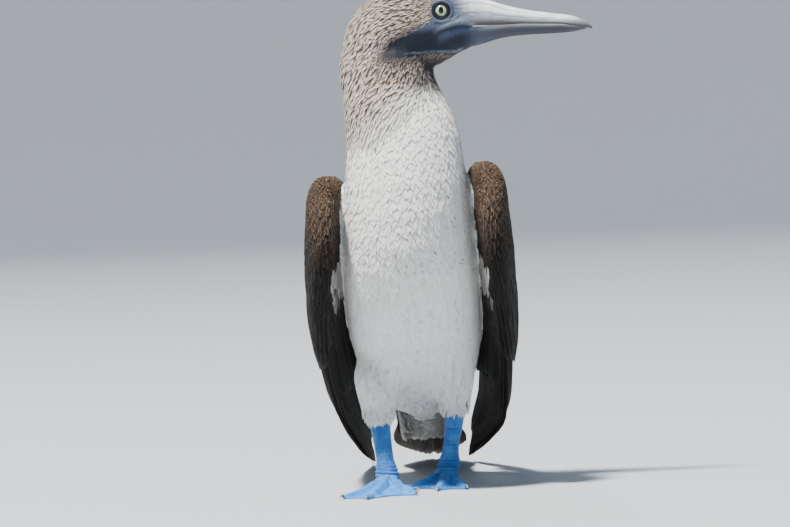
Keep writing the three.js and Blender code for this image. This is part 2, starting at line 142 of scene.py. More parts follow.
class Spline:
    """A smooth run through rows of numbers, read by a share from 0 to 1."""

    def __init__(self, rows: Sequence[Sequence[float]]) -> None:
        """Keep the rows, with one more before and after them for the end slopes.

        Args:
            rows: The numbers of each station.
        """
        inner = np.array(rows, float)
        self.count = len(inner)
        self.rows = np.vstack([2 * inner[0] - inner[1], inner, 2 * inner[-1] - inner[-2]])

    def at(self, share: Array) -> Array:
        """Read the run.

        Args:
            share: Shares from 0 to 1, of any shape.

        Returns:
            The numbers there, in a last axis of their own.
        """
        place = np.clip(np.asarray(share, float), 0, 1) * (self.count - 1)
        step = np.minimum(place.astype(int), self.count - 2)
        t = (place - step)[..., None]
        before, start, end, after = (self.rows[step + k] for k in range(4))
        slope_in = (end - before) / 2
        slope_out = (after - start) / 2
        return (
            (2 * t**3 - 3 * t**2 + 1) * start
            + (t**3 - 2 * t**2 + t) * slope_in
            + (3 * t**2 - 2 * t**3) * end
            + (t**3 - t**2) * slope_out
        )


BODY = Spline([
    [0, 154, 59, 0, 0, 0],
    [0, 142, 65, 20, 13, 11],
    [0, 112, 78, 38, 31, 25],
    [0, 76, 100, 52, 47, 41],
    [0, 38, 132, 58, 58, 55],
    [0, 2, 172, 60, 64, 65],
    [0, -24, 212, 58, 59, 67],
    [0, -37, 248, 55, 50, 60],
    [0, -40, 282, 51, 47, 51],
    [-2, -36, 314, 48, 44, 44],
    [-10, -30, 342, 42, 40, 37],
    [-14, -26, 366, 39, 36, 33],
    [-13, -24, 388, 26, 24, 22],
    [-13, -24, 398, 0, 0, 0],
])
WING = Spline([
    [68, -56, 273, 0, 0, 8],
    [70, -50, 264, 24, 11, 10],
    [70, -34, 236, 43, 14, 13],
    [70, -12, 202, 51, 14.5, 18],
    [67, 28, 160, 51, 13, 25],
    [60, 74, 122, 45, 10, 32],
    [56, 124, 90, 36, 7.5, 36],
    [54, 182, 60, 25, 5, 36],
    [52, 236, 34, 15, 3, 32],
    [48, 290, 8, 7, 1.6, 30],
])
WING_LENGTH = 431.0
ARM_END = 0.58
TIP_LEAN, TIP_CLOSE = 10.0, 7.0
WING_CAMBER = 0.2
WRIST_DROP = 7.0
SWING_FROM, SWING_SHARE = -40.0, 0.046
HEAD = Spline([
    [-51, 372, 0, 0, 0],
    [-45, 374, 20, 18, 18],
    [-34, 377, 34, 30, 29],
    [-16, 382, 42, 40, 33],
    [4, 387, 43, 38, 30],
    [22, 391, 38, 34, 26.5],
    [36, 393, 33, 32, 23.5],
    [48, 395, 27, 26, 19.5],
    [60, 396, 22.5, 22, 16],
    [76, 396, 18, 16, 13.5],
    [92, 395, 13.5, 12, 11],
    [110, 393.5, 10.3, 9.6, 9],
    [130, 392.6, 7.8, 8.6, 7.4],
    [147, 391, 6.6, 6.6, 5.8],
    [158, 389, 4.4, 3.2, 3.6],
    [164, 387.6, 0, 0, 0],
])
MOUTH = np.array([
    [46, 390.4], [50, 391.2], [62, 392.4], [103, 392.4],
    [138, 390.8], [151, 388.6], [160, 386.6], [168, 384.6],
])
TAIL = Spline([[0, 128, 70], [0, 222, 37], [0, 332, 2.2]])
TAIL_LENGTH = 216.0
TAIL_ROOT = 0.5


def head_at(x: Array) -> Array:
    """Read x, axis height, reach up, reach down and half width of the head's run at places along X."""
    table = HEAD.at(np.linspace(0, 1, HEAD_SAMPLES))
    return np.stack([np.interp(x, table[:, 0], table[:, k]) for k in range(5)], -1)


def body_shell() -> Array:
    """Give a grid of points on the body's own run, in design millimetres."""
    share, turn = grid(np.linspace(0.02, 0.98, 150), np.linspace(0, 2 * math.pi, 90))
    run = BODY.at(share)
    slope = unit(np.gradient(run[..., :3], axis=0))
    side = np.broadcast_to([1.0, 0.0, 0.0], slope.shape)
    front = facing(unit(np.cross(side, slope)), 1, -1.0)
    reach = np.where(np.sin(turn) > 0, run[..., 5], run[..., 4])
    across = side * (run[..., 3] * np.cos(turn))[..., None]
    return swung(run[..., :3] + across + front * (reach * np.sin(turn))[..., None])


def swung(points: Array) -> Array:
    """Move points of the hind body sideways by its swing to the bird's left."""
    moved = np.array(points, float)
    moved[..., 0] += SWING_SHARE * np.maximum(0, moved[..., 1] - SWING_FROM)
    return moved


class Side(Enum):
    """The bird's own left and right, by the sign of X on its body."""

    LEFT = 1
    RIGHT = -1

    @property
    def word(self) -> str:
        """The side's name in the frame's node names."""
        return self.name.lower()


# Meshes


def deselect_all() -> None:
    """Leave object mode's selection empty."""
    if bpy.context.mode != "OBJECT":
        bpy.ops.object.mode_set(mode="OBJECT")
    bpy.ops.object.select_all(action="DESELECT")


def activate(piece: bpy.types.Object) -> None:
    """Select one object alone and make it active."""
    deselect_all()
    piece.select_set(True)
    bpy.context.view_layer.objects.active = piece


def apply_modifier(piece: bpy.types.Object, kind: str, **settings: object) -> None:
    """Add a modifier with its settings and apply it.

    Args:
        piece: The object that takes it.
        kind: The modifier's type.
        **settings: Its properties.
    """
    activate(piece)
    modifier = piece.modifiers.new(kind.lower(), kind)
    for name, value in settings.items():
        setattr(modifier, name, value)
    bpy.ops.object.modifier_apply(modifier=modifier.name)


def remesh(piece: bpy.types.Object, voxel: float, passes: int) -> None:
    """Fuse an object's shells at a voxel size in millimetres, and smooth it in so many passes."""
    apply_modifier(piece, "REMESH", mode="VOXEL", voxel_size=voxel * MM, adaptivity=0.0)
    apply_modifier(piece, "SMOOTH", factor=0.5, iterations=passes)


def linked(name: str, data: bpy.types.ID) -> bpy.types.Object:
    """Make an object of some data and link it to the scene."""
    made = bpy.data.objects.new(name, data)
    bpy.context.scene.collection.objects.link(made)
    return made


def merge_doubles(piece: bpy.types.Object, outwards: bool = False) -> None:
    """Merge an object's doubled points, and turn its faces outwards where asked."""
    activate(piece)
    bpy.ops.object.mode_set(mode="EDIT")
    bpy.ops.mesh.select_all(action="SELECT")
    bpy.ops.mesh.remove_doubles(threshold=MERGE_METRES)
    if outwards:
        bpy.ops.mesh.normals_make_consistent(inside=False)
    bpy.ops.object.mode_set(mode="OBJECT")


def mesh_object(name: str, points: Array, faces: Array) -> bpy.types.Object:
    """Make an object from points in metres and faces of one size.

    Args:
        name: The piece's name.
        points: Rows of x, y, z.
        faces: Rows of vertex numbers, three or four to a row.

    Returns:
        The new object, smooth shaded.
    """
    mesh = bpy.data.meshes.new(name)
    faces = np.asarray(faces, np.int32)
    count, corners = faces.shape
    mesh.vertices.add(len(points))
    mesh.vertices.foreach_set("co", np.asarray(points, np.float32).ravel())
    mesh.loops.add(count * corners)
    mesh.loops.foreach_set("vertex_index", faces.ravel())
    mesh.polygons.add(count)
    mesh.polygons.foreach_set("loop_start", np.arange(0, count * corners, corners, dtype=np.int32))
    mesh.update(calc_edges=True)
    mesh.polygons.foreach_set("use_smooth", np.ones(count, bool))
    return linked(name, mesh)


def read_rows(items: bpy.types.bpy_prop_collection, word: str) -> Array:
    """Read one vector from each item of a mesh."""
    rows = np.empty(len(items) * 3, np.float32)
    items.foreach_get(word, rows)
    return rows.reshape(-1, 3).astype(float)


def mesh_points(piece: bpy.types.Object) -> Array:
    """Read an object's vertices, in metres."""
    return read_rows(piece.data.vertices, "co")


def mesh_normals(piece: bpy.types.Object) -> Array:
    """Read an object's vertex normals."""
    return read_rows(piece.data.vertex_normals, "vector")


def set_points(piece: bpy.types.Object, points: Array) -> None:
    """Write an object's vertices, in metres."""
    piece.data.vertices.foreach_set("co", np.asarray(points, np.float32).ravel())
    piece.data.update()


def paint(piece: bpy.types.Object, name: str, colours: Array) -> None:
    """Store a colour for each vertex.

    Args:
        piece: The object that takes it.
        name: The attribute's name.
        colours: Rows of red, green and blue, in linear light.
    """
    layer = piece.data.color_attributes.new(name, "FLOAT_COLOR", "POINT")
    full = np.ones((len(colours), 4), np.float32)
    full[:, :3] = colours
    layer.data.foreach_set("color", full.ravel())


def store(piece: bpy.types.Object, name: str, vectors: Array) -> None:
    """Store a vector for each vertex under a name."""
    layer = piece.data.attributes.new(name, "FLOAT_VECTOR", "POINT")
    layer.data.foreach_set("vector", np.asarray(vectors, np.float32).ravel())


def sheet_faces(rows: int, columns: int) -> Array:
    """List the four-cornered faces of a sheet of points, each by its vertex numbers."""
    first = np.arange(rows - 1)[:, None] * columns + np.arange(columns - 1)[None, :]
    return stacked(first, first + 1, first + columns + 1, first + columns).reshape(-1, 4)


def loft_faces(rows: int, around: int) -> Array:
    """List the faces of a closed tube of `rows` rings with `around` points each.

    Args:
        rows: Rings along the tube.
        around: Points in a ring.

    Returns:
        Rows of four vertex numbers.
    """
    ring, turn = grid(np.arange(rows - 1), np.arange(around))
    a = ring * around + turn
    b = ring * around + (turn + 1) % around
    return stacked(a, b, b + around, a + around).reshape(-1, 4)


def loft(name: str, rings: Array) -> bpy.types.Object:
    """Make a closed tube from rings of points in metres, its ends shut where a ring is a point.

    Args:
        name: The piece's name.
        rings: Points by ring, turn and axis.

    Returns:
        The new object with its doubles merged and its faces turned outwards.
    """
    piece = mesh_object(name, rings.reshape(-1, 3), loft_faces(*rings.shape[:2]))
    merge_doubles(piece, outwards=True)
    bpy.ops.object.shade_smooth()
    return piece


def copies_joined(name: str, nodes: Sequence[str], grow: float) -> bpy.types.Object:
    """Copy CAD nodes, merge each copy's loose triangles, grow them a little and join them.

    Args:
        name: The new object's name.
        nodes: The CAD nodes to copy.
        grow: How far each face moves out, in metres, so that the copies overlap.

    Returns:
        One object with a mesh of its own.
    """
    made = []
    for node in nodes:
        piece = linked(f"{name}_{node}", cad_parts[node].data.copy())
        piece.data.materials.clear()
        merge_doubles(piece)
        set_points(piece, mesh_points(piece) + mesh_normals(piece) * grow)
        made.append(piece)
    return joined(name, made)


def joined(name: str, pieces: Sequence[bpy.types.Object]) -> bpy.types.Object:
    """Join objects into the first of them and name it.

    Args:
        name: The joined object's name.
        pieces: The objects, all of them meshes.

    Returns:
        The joined object.
    """
    deselect_all()
    for piece in pieces:
        piece.select_set(True)
    bpy.context.view_layer.objects.active = pieces[0]
    bpy.ops.object.join()
    pieces[0].name = name
    pieces[0].data.name = name
    return pieces[0]


# Shader maths


def operator_pair(operation: str) -> tuple[Callable, Callable]:
    """Make a Python operator that adds a Math node, and its reflected form.

    Args:
        operation: The Math node's operation.

    Returns:
        Both methods.
    """
    def forward(self: "Sock", other: object) -> "Sock":
        """Join this value and another."""
        return self.maths(operation, self, other)

    def reflected(self: "Sock", other: object) -> "Sock":
        """Join another value and this."""
        return self.maths(operation, other, self)

    return forward, reflected


class Sock:
    """A node socket that joins others by Python operators."""

    def __init__(self, shader: "Shader", socket: bpy.types.NodeSocket) -> None:
        """Keep the socket and the shader that it lies in."""
        self.shader = shader
        self.socket = socket

    def maths(self, operation: str, *values: object, clamp: bool = False) -> "Sock":
        """Add a Math node on this shader."""
        settings = {"operation": operation, "use_clamp": clamp}
        return self.shader.node("ShaderNodeMath", settings, dict(enumerate(values)))

    __add__, __radd__ = operator_pair("ADD")
    __sub__, __rsub__ = operator_pair("SUBTRACT")
    __mul__, __rmul__ = operator_pair("MULTIPLY")

    def absolute(self) -> "Sock":
        """The value without its sign."""
        return self.maths("ABSOLUTE", self)

    def sine(self) -> "Sock":
        """The sine of the value."""
        return self.maths("SINE", self)

    def step(self, low: float, high: float) -> "Sock":
        """A smooth step from 0 at `low` to 1 at `high`."""
        settings = {"interpolation_type": "SMOOTHSTEP"}
        inputs = {"Value": self, "From Min": low, "From Max": high}
        return self.shader.node("ShaderNodeMapRange", settings, inputs)

    def clamp(self) -> "Sock":
        """The value held between 0 and 1."""
        return self.maths("ADD", self, 0.0, clamp=True)


class Shader:
    """One material's nodes, added by a single method."""

    def __init__(self, name: str) -> None:
        """Start a material with a Principled shader.

        Args:
            name: The material's name.
        """
        self.material = bpy.data.materials.new(name)
        self.material.use_nodes = True
        self.tree = self.material.node_tree
        self.surface = next(n for n in self.tree.nodes if n.type == "BSDF_PRINCIPLED")

    def node(self, kind: str, settings: dict, inputs: dict, output: object = 0) -> Sock:
        """Add a node, set it and link it.

        Args:
            kind: The node's type.
            settings: Its properties, set first.
            inputs: Values or sockets, by input name or number.
            output: The output's name or number.

        Returns:
            The chosen output.
        """
        made = self.tree.nodes.new(kind)
        for name, value in settings.items():
            setattr(made, name, value)
        for name, value in inputs.items():
            self.fill(made.inputs[name], value)
        return Sock(self, made.outputs[output])

    def fill(self, target: bpy.types.NodeSocket, value: object) -> None:
        """Link a socket to an input, or set the input to a plain value."""
        if isinstance(value, Sock):
            self.tree.links.new(value.socket, target)
        else:
            target.default_value = value

    def feed(self, **inputs: object) -> None:
        """Set or link inputs of the surface, named with underscores for their spaces."""
        for name, value in inputs.items():
            self.fill(self.surface.inputs[name.replace("_", " ")], value)

    def shaded(self, colour: Sock, tone: Sock) -> Sock:
        """Multiply a colour by a number."""
        grey = self.node("ShaderNodeCombineXYZ", {}, {0: tone, 1: tone, 2: tone})
        return self.mix(1.0, colour, grey, "MULTIPLY")

    def root(self, value: Sock) -> Sock:
        """Take a value's square root."""
        return self.node("ShaderNodeMath", {"operation": "SQRT"}, {0: value})

    def mix(self, share: object, first: object, second: object, blend: str = "MIX") -> Sock:
        """Mix two colours.

        Args:
            share: How much of the second shows.
            first: A colour or socket.
            second: A colour or socket.
            blend: How they mix.

        Returns:
            The mixed colour.
        """
        settings = {"data_type": "RGBA", "blend_type": blend}
        ready = [v if isinstance(v, Sock) else (*v, 1.0) for v in (first, second)]
        return self.node("ShaderNodeMix", settings, {0: share, 6: ready[0], 7: ready[1]}, 2)

    def place(self) -> Sock:
        """Read the Object coordinates, in metres of the frame."""
        return self.node("ShaderNodeTexCoord", {}, {}, "Object")

    def scaled(self, vector: Sock, by: Sequence[float]) -> Sock:
        """Scale a vector by axis."""
        return self.node("ShaderNodeVectorMath", {"operation": "MULTIPLY"}, {0: vector, 1: by})

    def attribute(self, name: str, output: str = "Color") -> Sock:
        """Read one of the mesh's attributes."""
        return self.node("ShaderNodeAttribute", {"attribute_name": name}, {}, output)

    def split(self, vector: Sock) -> list[Sock]:
        """Split a vector into its three numbers."""
        first = self.node("ShaderNodeSeparateXYZ", {}, {0: vector})
        return [first] + [Sock(self, first.socket.node.outputs[k]) for k in (1, 2)]

    def noise(self, vector: Sock, scale: float, detail: float = 3.0, rough: float = 0.55) -> Sock:
        """Add a noise of 0 to 1 at a scale per metre."""
        inputs = {"Vector": vector, "Scale": scale, "Detail": detail, "Roughness": rough}
        return self.node("ShaderNodeTexNoise", {}, inputs, "Fac")

    def cells(self, vector: Sock, scale: float, feature: str = "F1") -> Sock:
        """Add a cell pattern's distances at a scale per metre."""
        inputs = {"Vector": vector, "Scale": scale}
        return self.node("ShaderNodeTexVoronoi", {"feature": feature}, inputs, "Distance")

    def bump(self, height: Sock, distance: float, strength: float = 1.0) -> None:
        """Feed a height, in metres at full strength, to the surface's normal."""
        inputs = {"Height": height, "Distance": distance, "Strength": strength}
        self.feed(Normal=self.node("ShaderNodeBump", {}, inputs))


# Markings


@dataclass(frozen=True)
class Palette:
    """The bird's colours in linear light."""

    white: tuple = tint(243, 242, 239)
    cream: tuple = tint(232, 220, 205)
    crown_tip: tuple = tint(212, 196, 180)
    streak: tuple = tint(92, 76, 66)
    crown: tuple = tint(92, 74, 62)
    throat: tuple = tint(168, 146, 126)
    throat_gap: tuple = tint(46, 38, 34)
    # Painted shade for the throat's front under the chin.
    chin: tuple = tint(34, 38, 48)
    # Painted shade for the feathers beside the bare face's lower rear edge.
    cheek: tuple = tint(78, 80, 88)
    down: tuple = tint(214, 213, 212)
    brown: tuple = tint(74, 58, 47)
    brown_dark: tuple = tint(22, 18, 17)
    tan: tuple = tint(158, 130, 104)
    flight: tuple = tint(14, 14, 15)
    covert_tip: tuple = tint(48, 41, 37)
    face: tuple = tint(76, 88, 108)
    brow: tuple = tint(130, 143, 164)
    gular: tuple = tint(19, 29, 45)
    gular_rear: tuple = tint(30, 36, 44)
    # Painted highlights for the face's raised folds.
    fold: tuple = tint(140, 150, 168)
    soft_fold: tuple = tint(70, 80, 108)
    lid: tuple = tint(14, 19, 32)
    # Painted highlight for the raised skin round the eye ring.
    rim_highlight: tuple = tint(96, 108, 132)
    horn: tuple = tint(146, 158, 174)
    # Painted highlights for the tops of the mandibles, and painted shade below them.
    horn_pale: tuple = tint(226, 230, 235)
    horn_low: tuple = tint(84, 76, 72)
    horn_edge: tuple = tint(168, 172, 178)
    horn_slate: tuple = tint(62, 68, 80)
    horn_tip: tuple = tint(84, 84, 92)


INK = Palette()

GAPE_FOLD = ((63.5, 392.4), (57, 395.8), (47, 395.4), (36, 391.4), (27, 387.6))
GAPE_GROOVE = ((62, 391.2), (52, 392.6), (42, 391.2), (33, 387.8))
SOFT_FOLD = ((62, 388.5), (52, 389.0), (42, 385.5), (34, 382.0))
GULAR_RIDGE = ((52, 373.4), (46, 371.4), (34, 371.6), (20, 371.4), (6, 370.0))
BROW_FOLD = ((50, 401.0), (46, 398.4), (38, 396.2), (30, 396.4))

# The bare skin's outline seen from the side, x and z.
BARE_OUTLINE = np.array([
    [31.8, 420.0], [31.4, 413.8], [29.2, 410.2], [28.5, 406.0], [29.0, 401.8], [29.4, 398.6], [27.0, 397.0],
    [20.3, 394.6], [10.3, 389.1], [-4.0, 383.2], [-11.4, 377.2], [-13.9, 369.7], [-2.9, 368.4], [9.5, 369.2],
    [20.2, 370.8], [41.4, 370.7], [50.8, 368.0], [70.0, 350.0], [170.0, 350.0], [170.0, 440.0],
    [58.0, 440.0], [57.0, 419.0], [44.0, 422.0],
])


def outline_distance(x: Array, z: Array, outline: Array) -> Array:
    """Measure how far points lie inside a closed outline, below zero outside it.

    Args:
        x: Points along.
        z: Points up.
        outline: Corner points of the outline.

    Returns:
        Signed distances in millimetres.
    """
    best = np.full(np.shape(x), FAR)
    inside = np.zeros(np.shape(x), bool)
    for a, b in zip(outline, np.roll(outline, -1, axis=0)):
        edge = b - a
        t = np.clip(((x - a[0]) * edge[0] + (z - a[1]) * edge[1]) / (edge @ edge), 0, 1)
        best = np.minimum(best, np.hypot(x - a[0] - t * edge[0], z - a[1] - t * edge[1]))
        crosses = (a[1] > z) != (b[1] > z)
        at = a[0] + (z - a[1]) * edge[0] / (edge[1] if abs(edge[1]) > NEAR_ZERO else NEAR_ZERO)
        inside ^= crosses & (x < at)
    return np.where(inside, best, -best)


def nearest_tree(points: Array) -> KDTree:
    """Put points in a tree that finds the nearest of them."""
    tree = KDTree(len(points))
    for number, point in enumerate(points):
        tree.insert(point, number)
    tree.balance()
    return tree


def grid_tree(grids: Sequence[Array]) -> BVHTree:
    """Put grids of points in a tree that finds the nearest place on them.

    Args:
        grids: Rows and columns of points.

    Returns:
        The tree.
    """
    points, faces = [], []
    for sheet in grids:
        faces += (len(points) + sheet_faces(*sheet.shape[:2])).tolist()
        points += sheet.reshape(-1, 3).tolist()
    return BVHTree.FromPolygons(points, faces)


# Where the back begins behind the wings: heights, and the Y there.
BACK_EDGE = ((40, 80, 130, 200, 260, 300), (190, 108, 62, 30, 8, 6))


class Markings:
    """Where each colour of the plumage and bare skin lies, read by skin, coat and bill alike."""

    def bare(self, points: Array) -> Array:
        """Give the share of bare skin, 1 on the face."""
        return smooth(-0.7, 0.7, self.face_distance(points))

    def face_distance(self, points: Array) -> Array:
        """Give the distance inside the bare face's outline, below zero on the feathers."""
        x, z = points[:, 0], points[:, 2]
        wave = 0.5 * np.sin(1.7 * x + 0.9 * z) + 0.4 * np.sin(2.9 * z - 1.1 * x + 1.0)
        return outline_distance(x, z, BARE_OUTLINE) + wave

    def dorsal(self, points: Array) -> Array:
        """Give the share of the back, 1 on the mantle and rump, 0 on the belly."""
        behind = points[:, 1] - np.interp(points[:, 2], *BACK_EDGE)
        return smooth(-6, 16, behind) * smooth(330, 268, points[:, 2])

    def learn(self, arms: Sequence[Array], body: Array) -> None:
        """Keep the wings' arms and the body, to tell one from the other."""
        self.arms, self.body = grid_tree(arms), grid_tree([body])

    def arm(self, points: Array) -> Array:
        """Give the share of the wings' arms, 1 on them and 0 on the body."""
        off = np.abs(points[:, 0] - SWING_SHARE * np.maximum(0, points[:, 1] - SWING_FROM))
        share = np.zeros(len(points))
        for number in np.flatnonzero((off > 50) & (points[:, 2] < 292) & (points[:, 2] > 40)):
            spot = Vector(points[number])
            share[number] = self.body.find_nearest(spot)[3] - self.arms.find_nearest(spot)[3]
        return smooth(0.2, 1.6, share)

    def streaks(self, points: Array) -> Array:
        """Give the share of brown streaks on head and neck, fading to the white breast."""
        x, y, z = points.T
        edge = 352 - 0.78 * (20 - x) - 58 * smooth(-35, 30, y)
        return smooth(edge - 26, edge + 26, z)

    def crown(self, points: Array) -> Array:
        """Give the share of the browner crown."""
        return smooth(392, 428, points[:, 2] + 0.25 * (points[:, 0] + 20)) * self.streaks(points)

    def throat(self, points: Array) -> Array:
        """Give the share of the brown comb of feathers under the chin."""
        x, _, z = points.T
        return smooth(-22, 0, x) * smooth(376, 369, z) * smooth(349, 357, z)

    def chin(self, points: Array) -> Array:
        """Give the share of the front of the throat, painted blue-black as shade under the chin."""
        x, _, z = points.T
        return smooth(6, 24, x + 0.5 * (362 - z)) * smooth(372, 364, z) * smooth(340, 349, z)

    def tip(self, points: Array) -> Array:
        """Give the colour of feather tips.

        Args:
            points: Design millimetres.

        Returns:
            Rows of linear colour.
        """
        z = points[:, 2]
        # Painted shade on the feathers beside the bare face's lower rear edge.
        cheek_shade_share = smooth(8, 0, -self.face_distance(points)) * smooth(30, 12, points[:, 0]) * smooth(362, 370, z)
        back = self.dorsal(points)
        hind_patch = smooth(238, 258, z) * smooth(300, 280, z)
        return layered(INK.white, (
            (INK.cream, self.streaks(points)),
            (INK.crown_tip, self.crown(points)),
            (INK.throat, 0.8 * self.throat(points)),
            # Painted shade: the throat's front under the chin, blue-black.
            (INK.chin, 0.85 * self.chin(points)),
            (INK.cheek, 0.85 * cheek_shade_share),
            (INK.brown, back * (1 - 0.85 * hind_patch)),
            (INK.down, 0.75 * back * smooth(120, 92, z)),
            (INK.brown, self.arm(points)),
        ))

    def base(self, points: Array) -> Array:
        """Give the colour of feather bases, which shows between the tips."""
        return layered(INK.down, (
            (INK.streak, smooth(0.25, 0.9, self.streaks(points))),
            (INK.crown, self.crown(points)),
            (INK.throat_gap, np.maximum(self.throat(points), self.chin(points))),
            (INK.brown_dark, np.maximum(self.dorsal(points), self.arm(points))),
        ))

    def face(self, points: Array) -> Array:
        """Give the bare face's colour, from the pale brow to the dark throat pouch, with painted highlights
        on its raised folds and round the eye ring.

        Args:
            points: Design millimetres.

        Returns:
            Rows of linear colour.
        """
        x, _, z = points.T
        fade = smooth(26, 40, x)
        ring = np.hypot(x - EYE_X, z - EYE_Z)
        layers = (
            (INK.brow, smooth(410, 418, z) * smooth(40, 56, x)),
            (INK.gular, smooth(396, 388, z - 0.10 * (x - 40)) * smooth(78, 50, x)),
            (INK.gular_rear, smooth(16, -6, x)),
            # Painted highlights along the raised gape fold and the soft fold below it.
            (INK.fold, 0.62 * fade * ridge(x, z, GAPE_FOLD, 2.3, 1.0)),
            (INK.soft_fold, 0.75 * fade * ridge(x, z, SOFT_FOLD, 3.2, 1.0)),
            # Painted highlight along the raised gular ridge.
            (INK.fold, 0.6 * smooth(4, 22, x) * ridge(x, z, GULAR_RIDGE, 1.0, 1.0)),
            (INK.gular, 0.55 * ridge(x, z, GAPE_GROOVE, 0.9, 1.0)),
            (INK.gular, 0.5 * smooth(14.0, 9.0, ring) * smooth(404, 410, z)),
            # Painted highlight on the raised skin round the eye ring.
            (INK.rim_highlight, smooth(9.8, 8.8, ring) * 0.6),
            (INK.lid, smooth(8.7, 7.7, ring)),
        )
        return layered(INK.face, layers)

    def horn(self, points: Array) -> Array:
        """Give the bill's colour, with painted highlights along the ridge and the lower mandible's top edge,
        and painted shade towards the mouth and under the lower mandible.

        Args:
            points: Design millimetres.

        Returns:
            Rows of linear colour.
        """
        x, _, z = points.T
        row = head_at(x)
        mouth = np.interp(x, MOUTH[:, 0], MOUTH[:, 1])
        rise = (z - mouth) / np.maximum(row[:, 1] + row[:, 2] - mouth, 0.5)
        # Painted shade on the upper mandible's lower side towards the mouth, and a painted highlight along
        # its ridge.
        upper = blend(INK.horn_low, INK.horn, smooth(0.05, 0.4, rise))
        upper = blend(upper, INK.horn_pale, smooth(0.35, 0.8, rise))
        wander = 1.2 * np.sin(0.05 * x) + 0.8 * np.sin(0.13 * x + 2.0)
        line = smooth(0.6, 1.0, np.sin(19 * rise + wander)) * smooth(0.15, 0.3, rise)
        upper = blend(upper, INK.horn_low, 0.6 * line * smooth(128, 84, x))
        fall = (mouth - z) / np.maximum(mouth - row[:, 1] + row[:, 3], 0.5)
        # A painted highlight on the lower mandible's top edge, and painted shade below it.
        lower = blend(INK.horn_edge, INK.horn_slate, smooth(0.0, 0.45, fall))
        colour = blend(lower, upper, smooth(-0.05, 0.05, z - mouth))
        return blend(colour, INK.horn_tip, 0.85 * smooth(136, 160, x + 0.5 * np.sin(2.1 * z)))

    def skin(self, points: Array) -> Array:
        """Give the skin's colour: the coat's mean under feathers, slate and horn on the bare face."""
        under = blend(self.base(points), self.tip(points), np.full(len(points), 0.35))
        return blend(under, self.front(points), self.naked(points))

    def naked(self, points: Array) -> Array:
        """Give the share of the skin that looks bare, which runs on just under the first feathers."""
        return smooth(-2.8, -1.2, self.face_distance(points))

    def front(self, points: Array) -> Array:
        """Give the colour of bare face and bill, which run into one another."""
        x, _, z = points.T
        streaky = 2.2 * np.sin(1.9 * z + 0.8) + 1.4 * np.sin(3.7 * z)
        past = x - (60 - 13 * smooth(390, 400, z) + streaky)
        share = 0.7 * smooth(0, 14, past) + 0.3 * smooth(8, 30, past)
        return blend(self.face(points), self.horn(points), share)


def blend(first: object, second: object, share: Array) -> Array:
    """Mix two colours, or rows of them, by how much of the second each row shows."""
    part = np.asarray(share, float)[:, None]
    return np.asarray(first, float) * (1 - part) + np.asarray(second, float) * part


def layered(ground: object, layers: Sequence[tuple[object, Array]]) -> Array:
    """Lay colours one over another by the share of each."""
    for colour, share in layers:
        ground = blend(ground, colour, share)
    return ground


MARKINGS = Markings()


# Finishes

MADE: dict = {}


class Finish:
    """A material that is made once and handed to each piece that wears it."""

    name = "finish"

    def build(self, shader: Shader) -> None:
        """Add the nodes to a fresh shader."""
        raise NotImplementedError

    def make(self) -> bpy.types.Material:
        """Give the finish's material, made at first use."""
        if self not in MADE:
            shader = Shader(self.name)
            self.build(shader)
            MADE[self] = shader.material
        return MADE[self]

    def dress(self, piece: bpy.types.Object) -> None:
        """Make this the piece's only material."""
        piece.data.materials.clear()
        piece.data.materials.append(self.make())


@dataclass(frozen=True)
class PlumageFinish(Finish):
    """Small feathers: a base colour that runs out to a tip colour, with barbs and a tone of their own."""

    name: str = "look_plumage"
    tip_from: float = 0.15
    tip_to: float = 0.75
    edge: float = 0.25
    tone: float = 0.16
    barbs: float = 1.0

    def build(self, shader: Shader) -> None:
        """Add the nodes.

        Args:
            shader: The material's nodes.
        """
        across, along, tone = shader.split(shader.attribute("vane", "Vector"))
        wide, far, _ = shader.split(shader.attribute("vane_mm", "Vector"))
        mottle = shader.noise(shader.place(), 420.0, 2.0)
        fringe = across.absolute()
        reach = along - 0.18 * fringe + 0.35 * (mottle - 0.5)
        shown = reach.step(self.tip_from, self.tip_to)
        colour = shader.mix(shown, shader.attribute("base_colour"), shader.attribute("tip_colour"))
        strand = (far * 9.0 + wide.absolute() * 10.0 + tone * 40.0).sine()
        # Darker towards the vane's sides near the root.
        worn = self.edge * (fringe - 0.6).clamp() * (1.0 - along)
        shade = 1.0 - self.tone * tone - 0.05 * strand * self.barbs - worn
        colour = shader.shaded(colour, shade)
        shader.feed(Base_Color=colour, Roughness=0.82, Specular_IOR_Level=0.25)
        shader.feed(Sheen_Weight=0.15, Sheen_Roughness=0.5)
        shader.bump(strand * 0.5 + fringe * -0.8, 0.00025 * self.barbs)


@dataclass(frozen=True)
class VaneFinish(Finish):
    """Flight feathers and large coverts: brown vanes with a pale shaft, fine barbs and a worn fringe."""

    name: str = "look_vane"
    shaft: tuple = tint(76, 66, 58)

    def build(self, shader: Shader) -> None:
        """Add the nodes.

        Args:
            shader: The material's nodes.
        """
        across, along, tone = shader.split(shader.attribute("vane", "Vector"))
        wide, far, _ = shader.split(shader.attribute("vane_mm", "Vector"))
        wear = shader.noise(shader.place(), 260.0, 4.0)
        fringe = across.absolute() + 0.25 * (wear - 0.5)
        rim = fringe.step(0.72, 1.0)
        end = (along + 0.06 * (wear - 0.5)).step(0.86, 0.99)
        edge = (rim + end).clamp()
        colour = shader.mix(edge, shader.attribute("base_colour"), shader.attribute("tip_colour"))
        strand = (far * 7.0 + wide.absolute() * 9.0).sine()
        long_grain = shader.scaled(shader.attribute("vane_mm", "Vector"), (1.6, 0.12, 1.0))
        streak = shader.noise(long_grain, 1.0, 3.0)
        colour = shader.shaded(colour, 1.05 - 0.22 * tone - 0.06 * strand - 0.35 * (streak - 0.5))
        shaft = wide.absolute().step(0.7, 0.35)
        colour = shader.mix(0.5 * shaft, colour, self.shaft)
        shader.feed(Base_Color=colour, Roughness=0.6 + 0.25 * wear, Specular_IOR_Level=0.2)
        shader.bump(strand * 0.4 + shaft * 1.5, 0.00022)


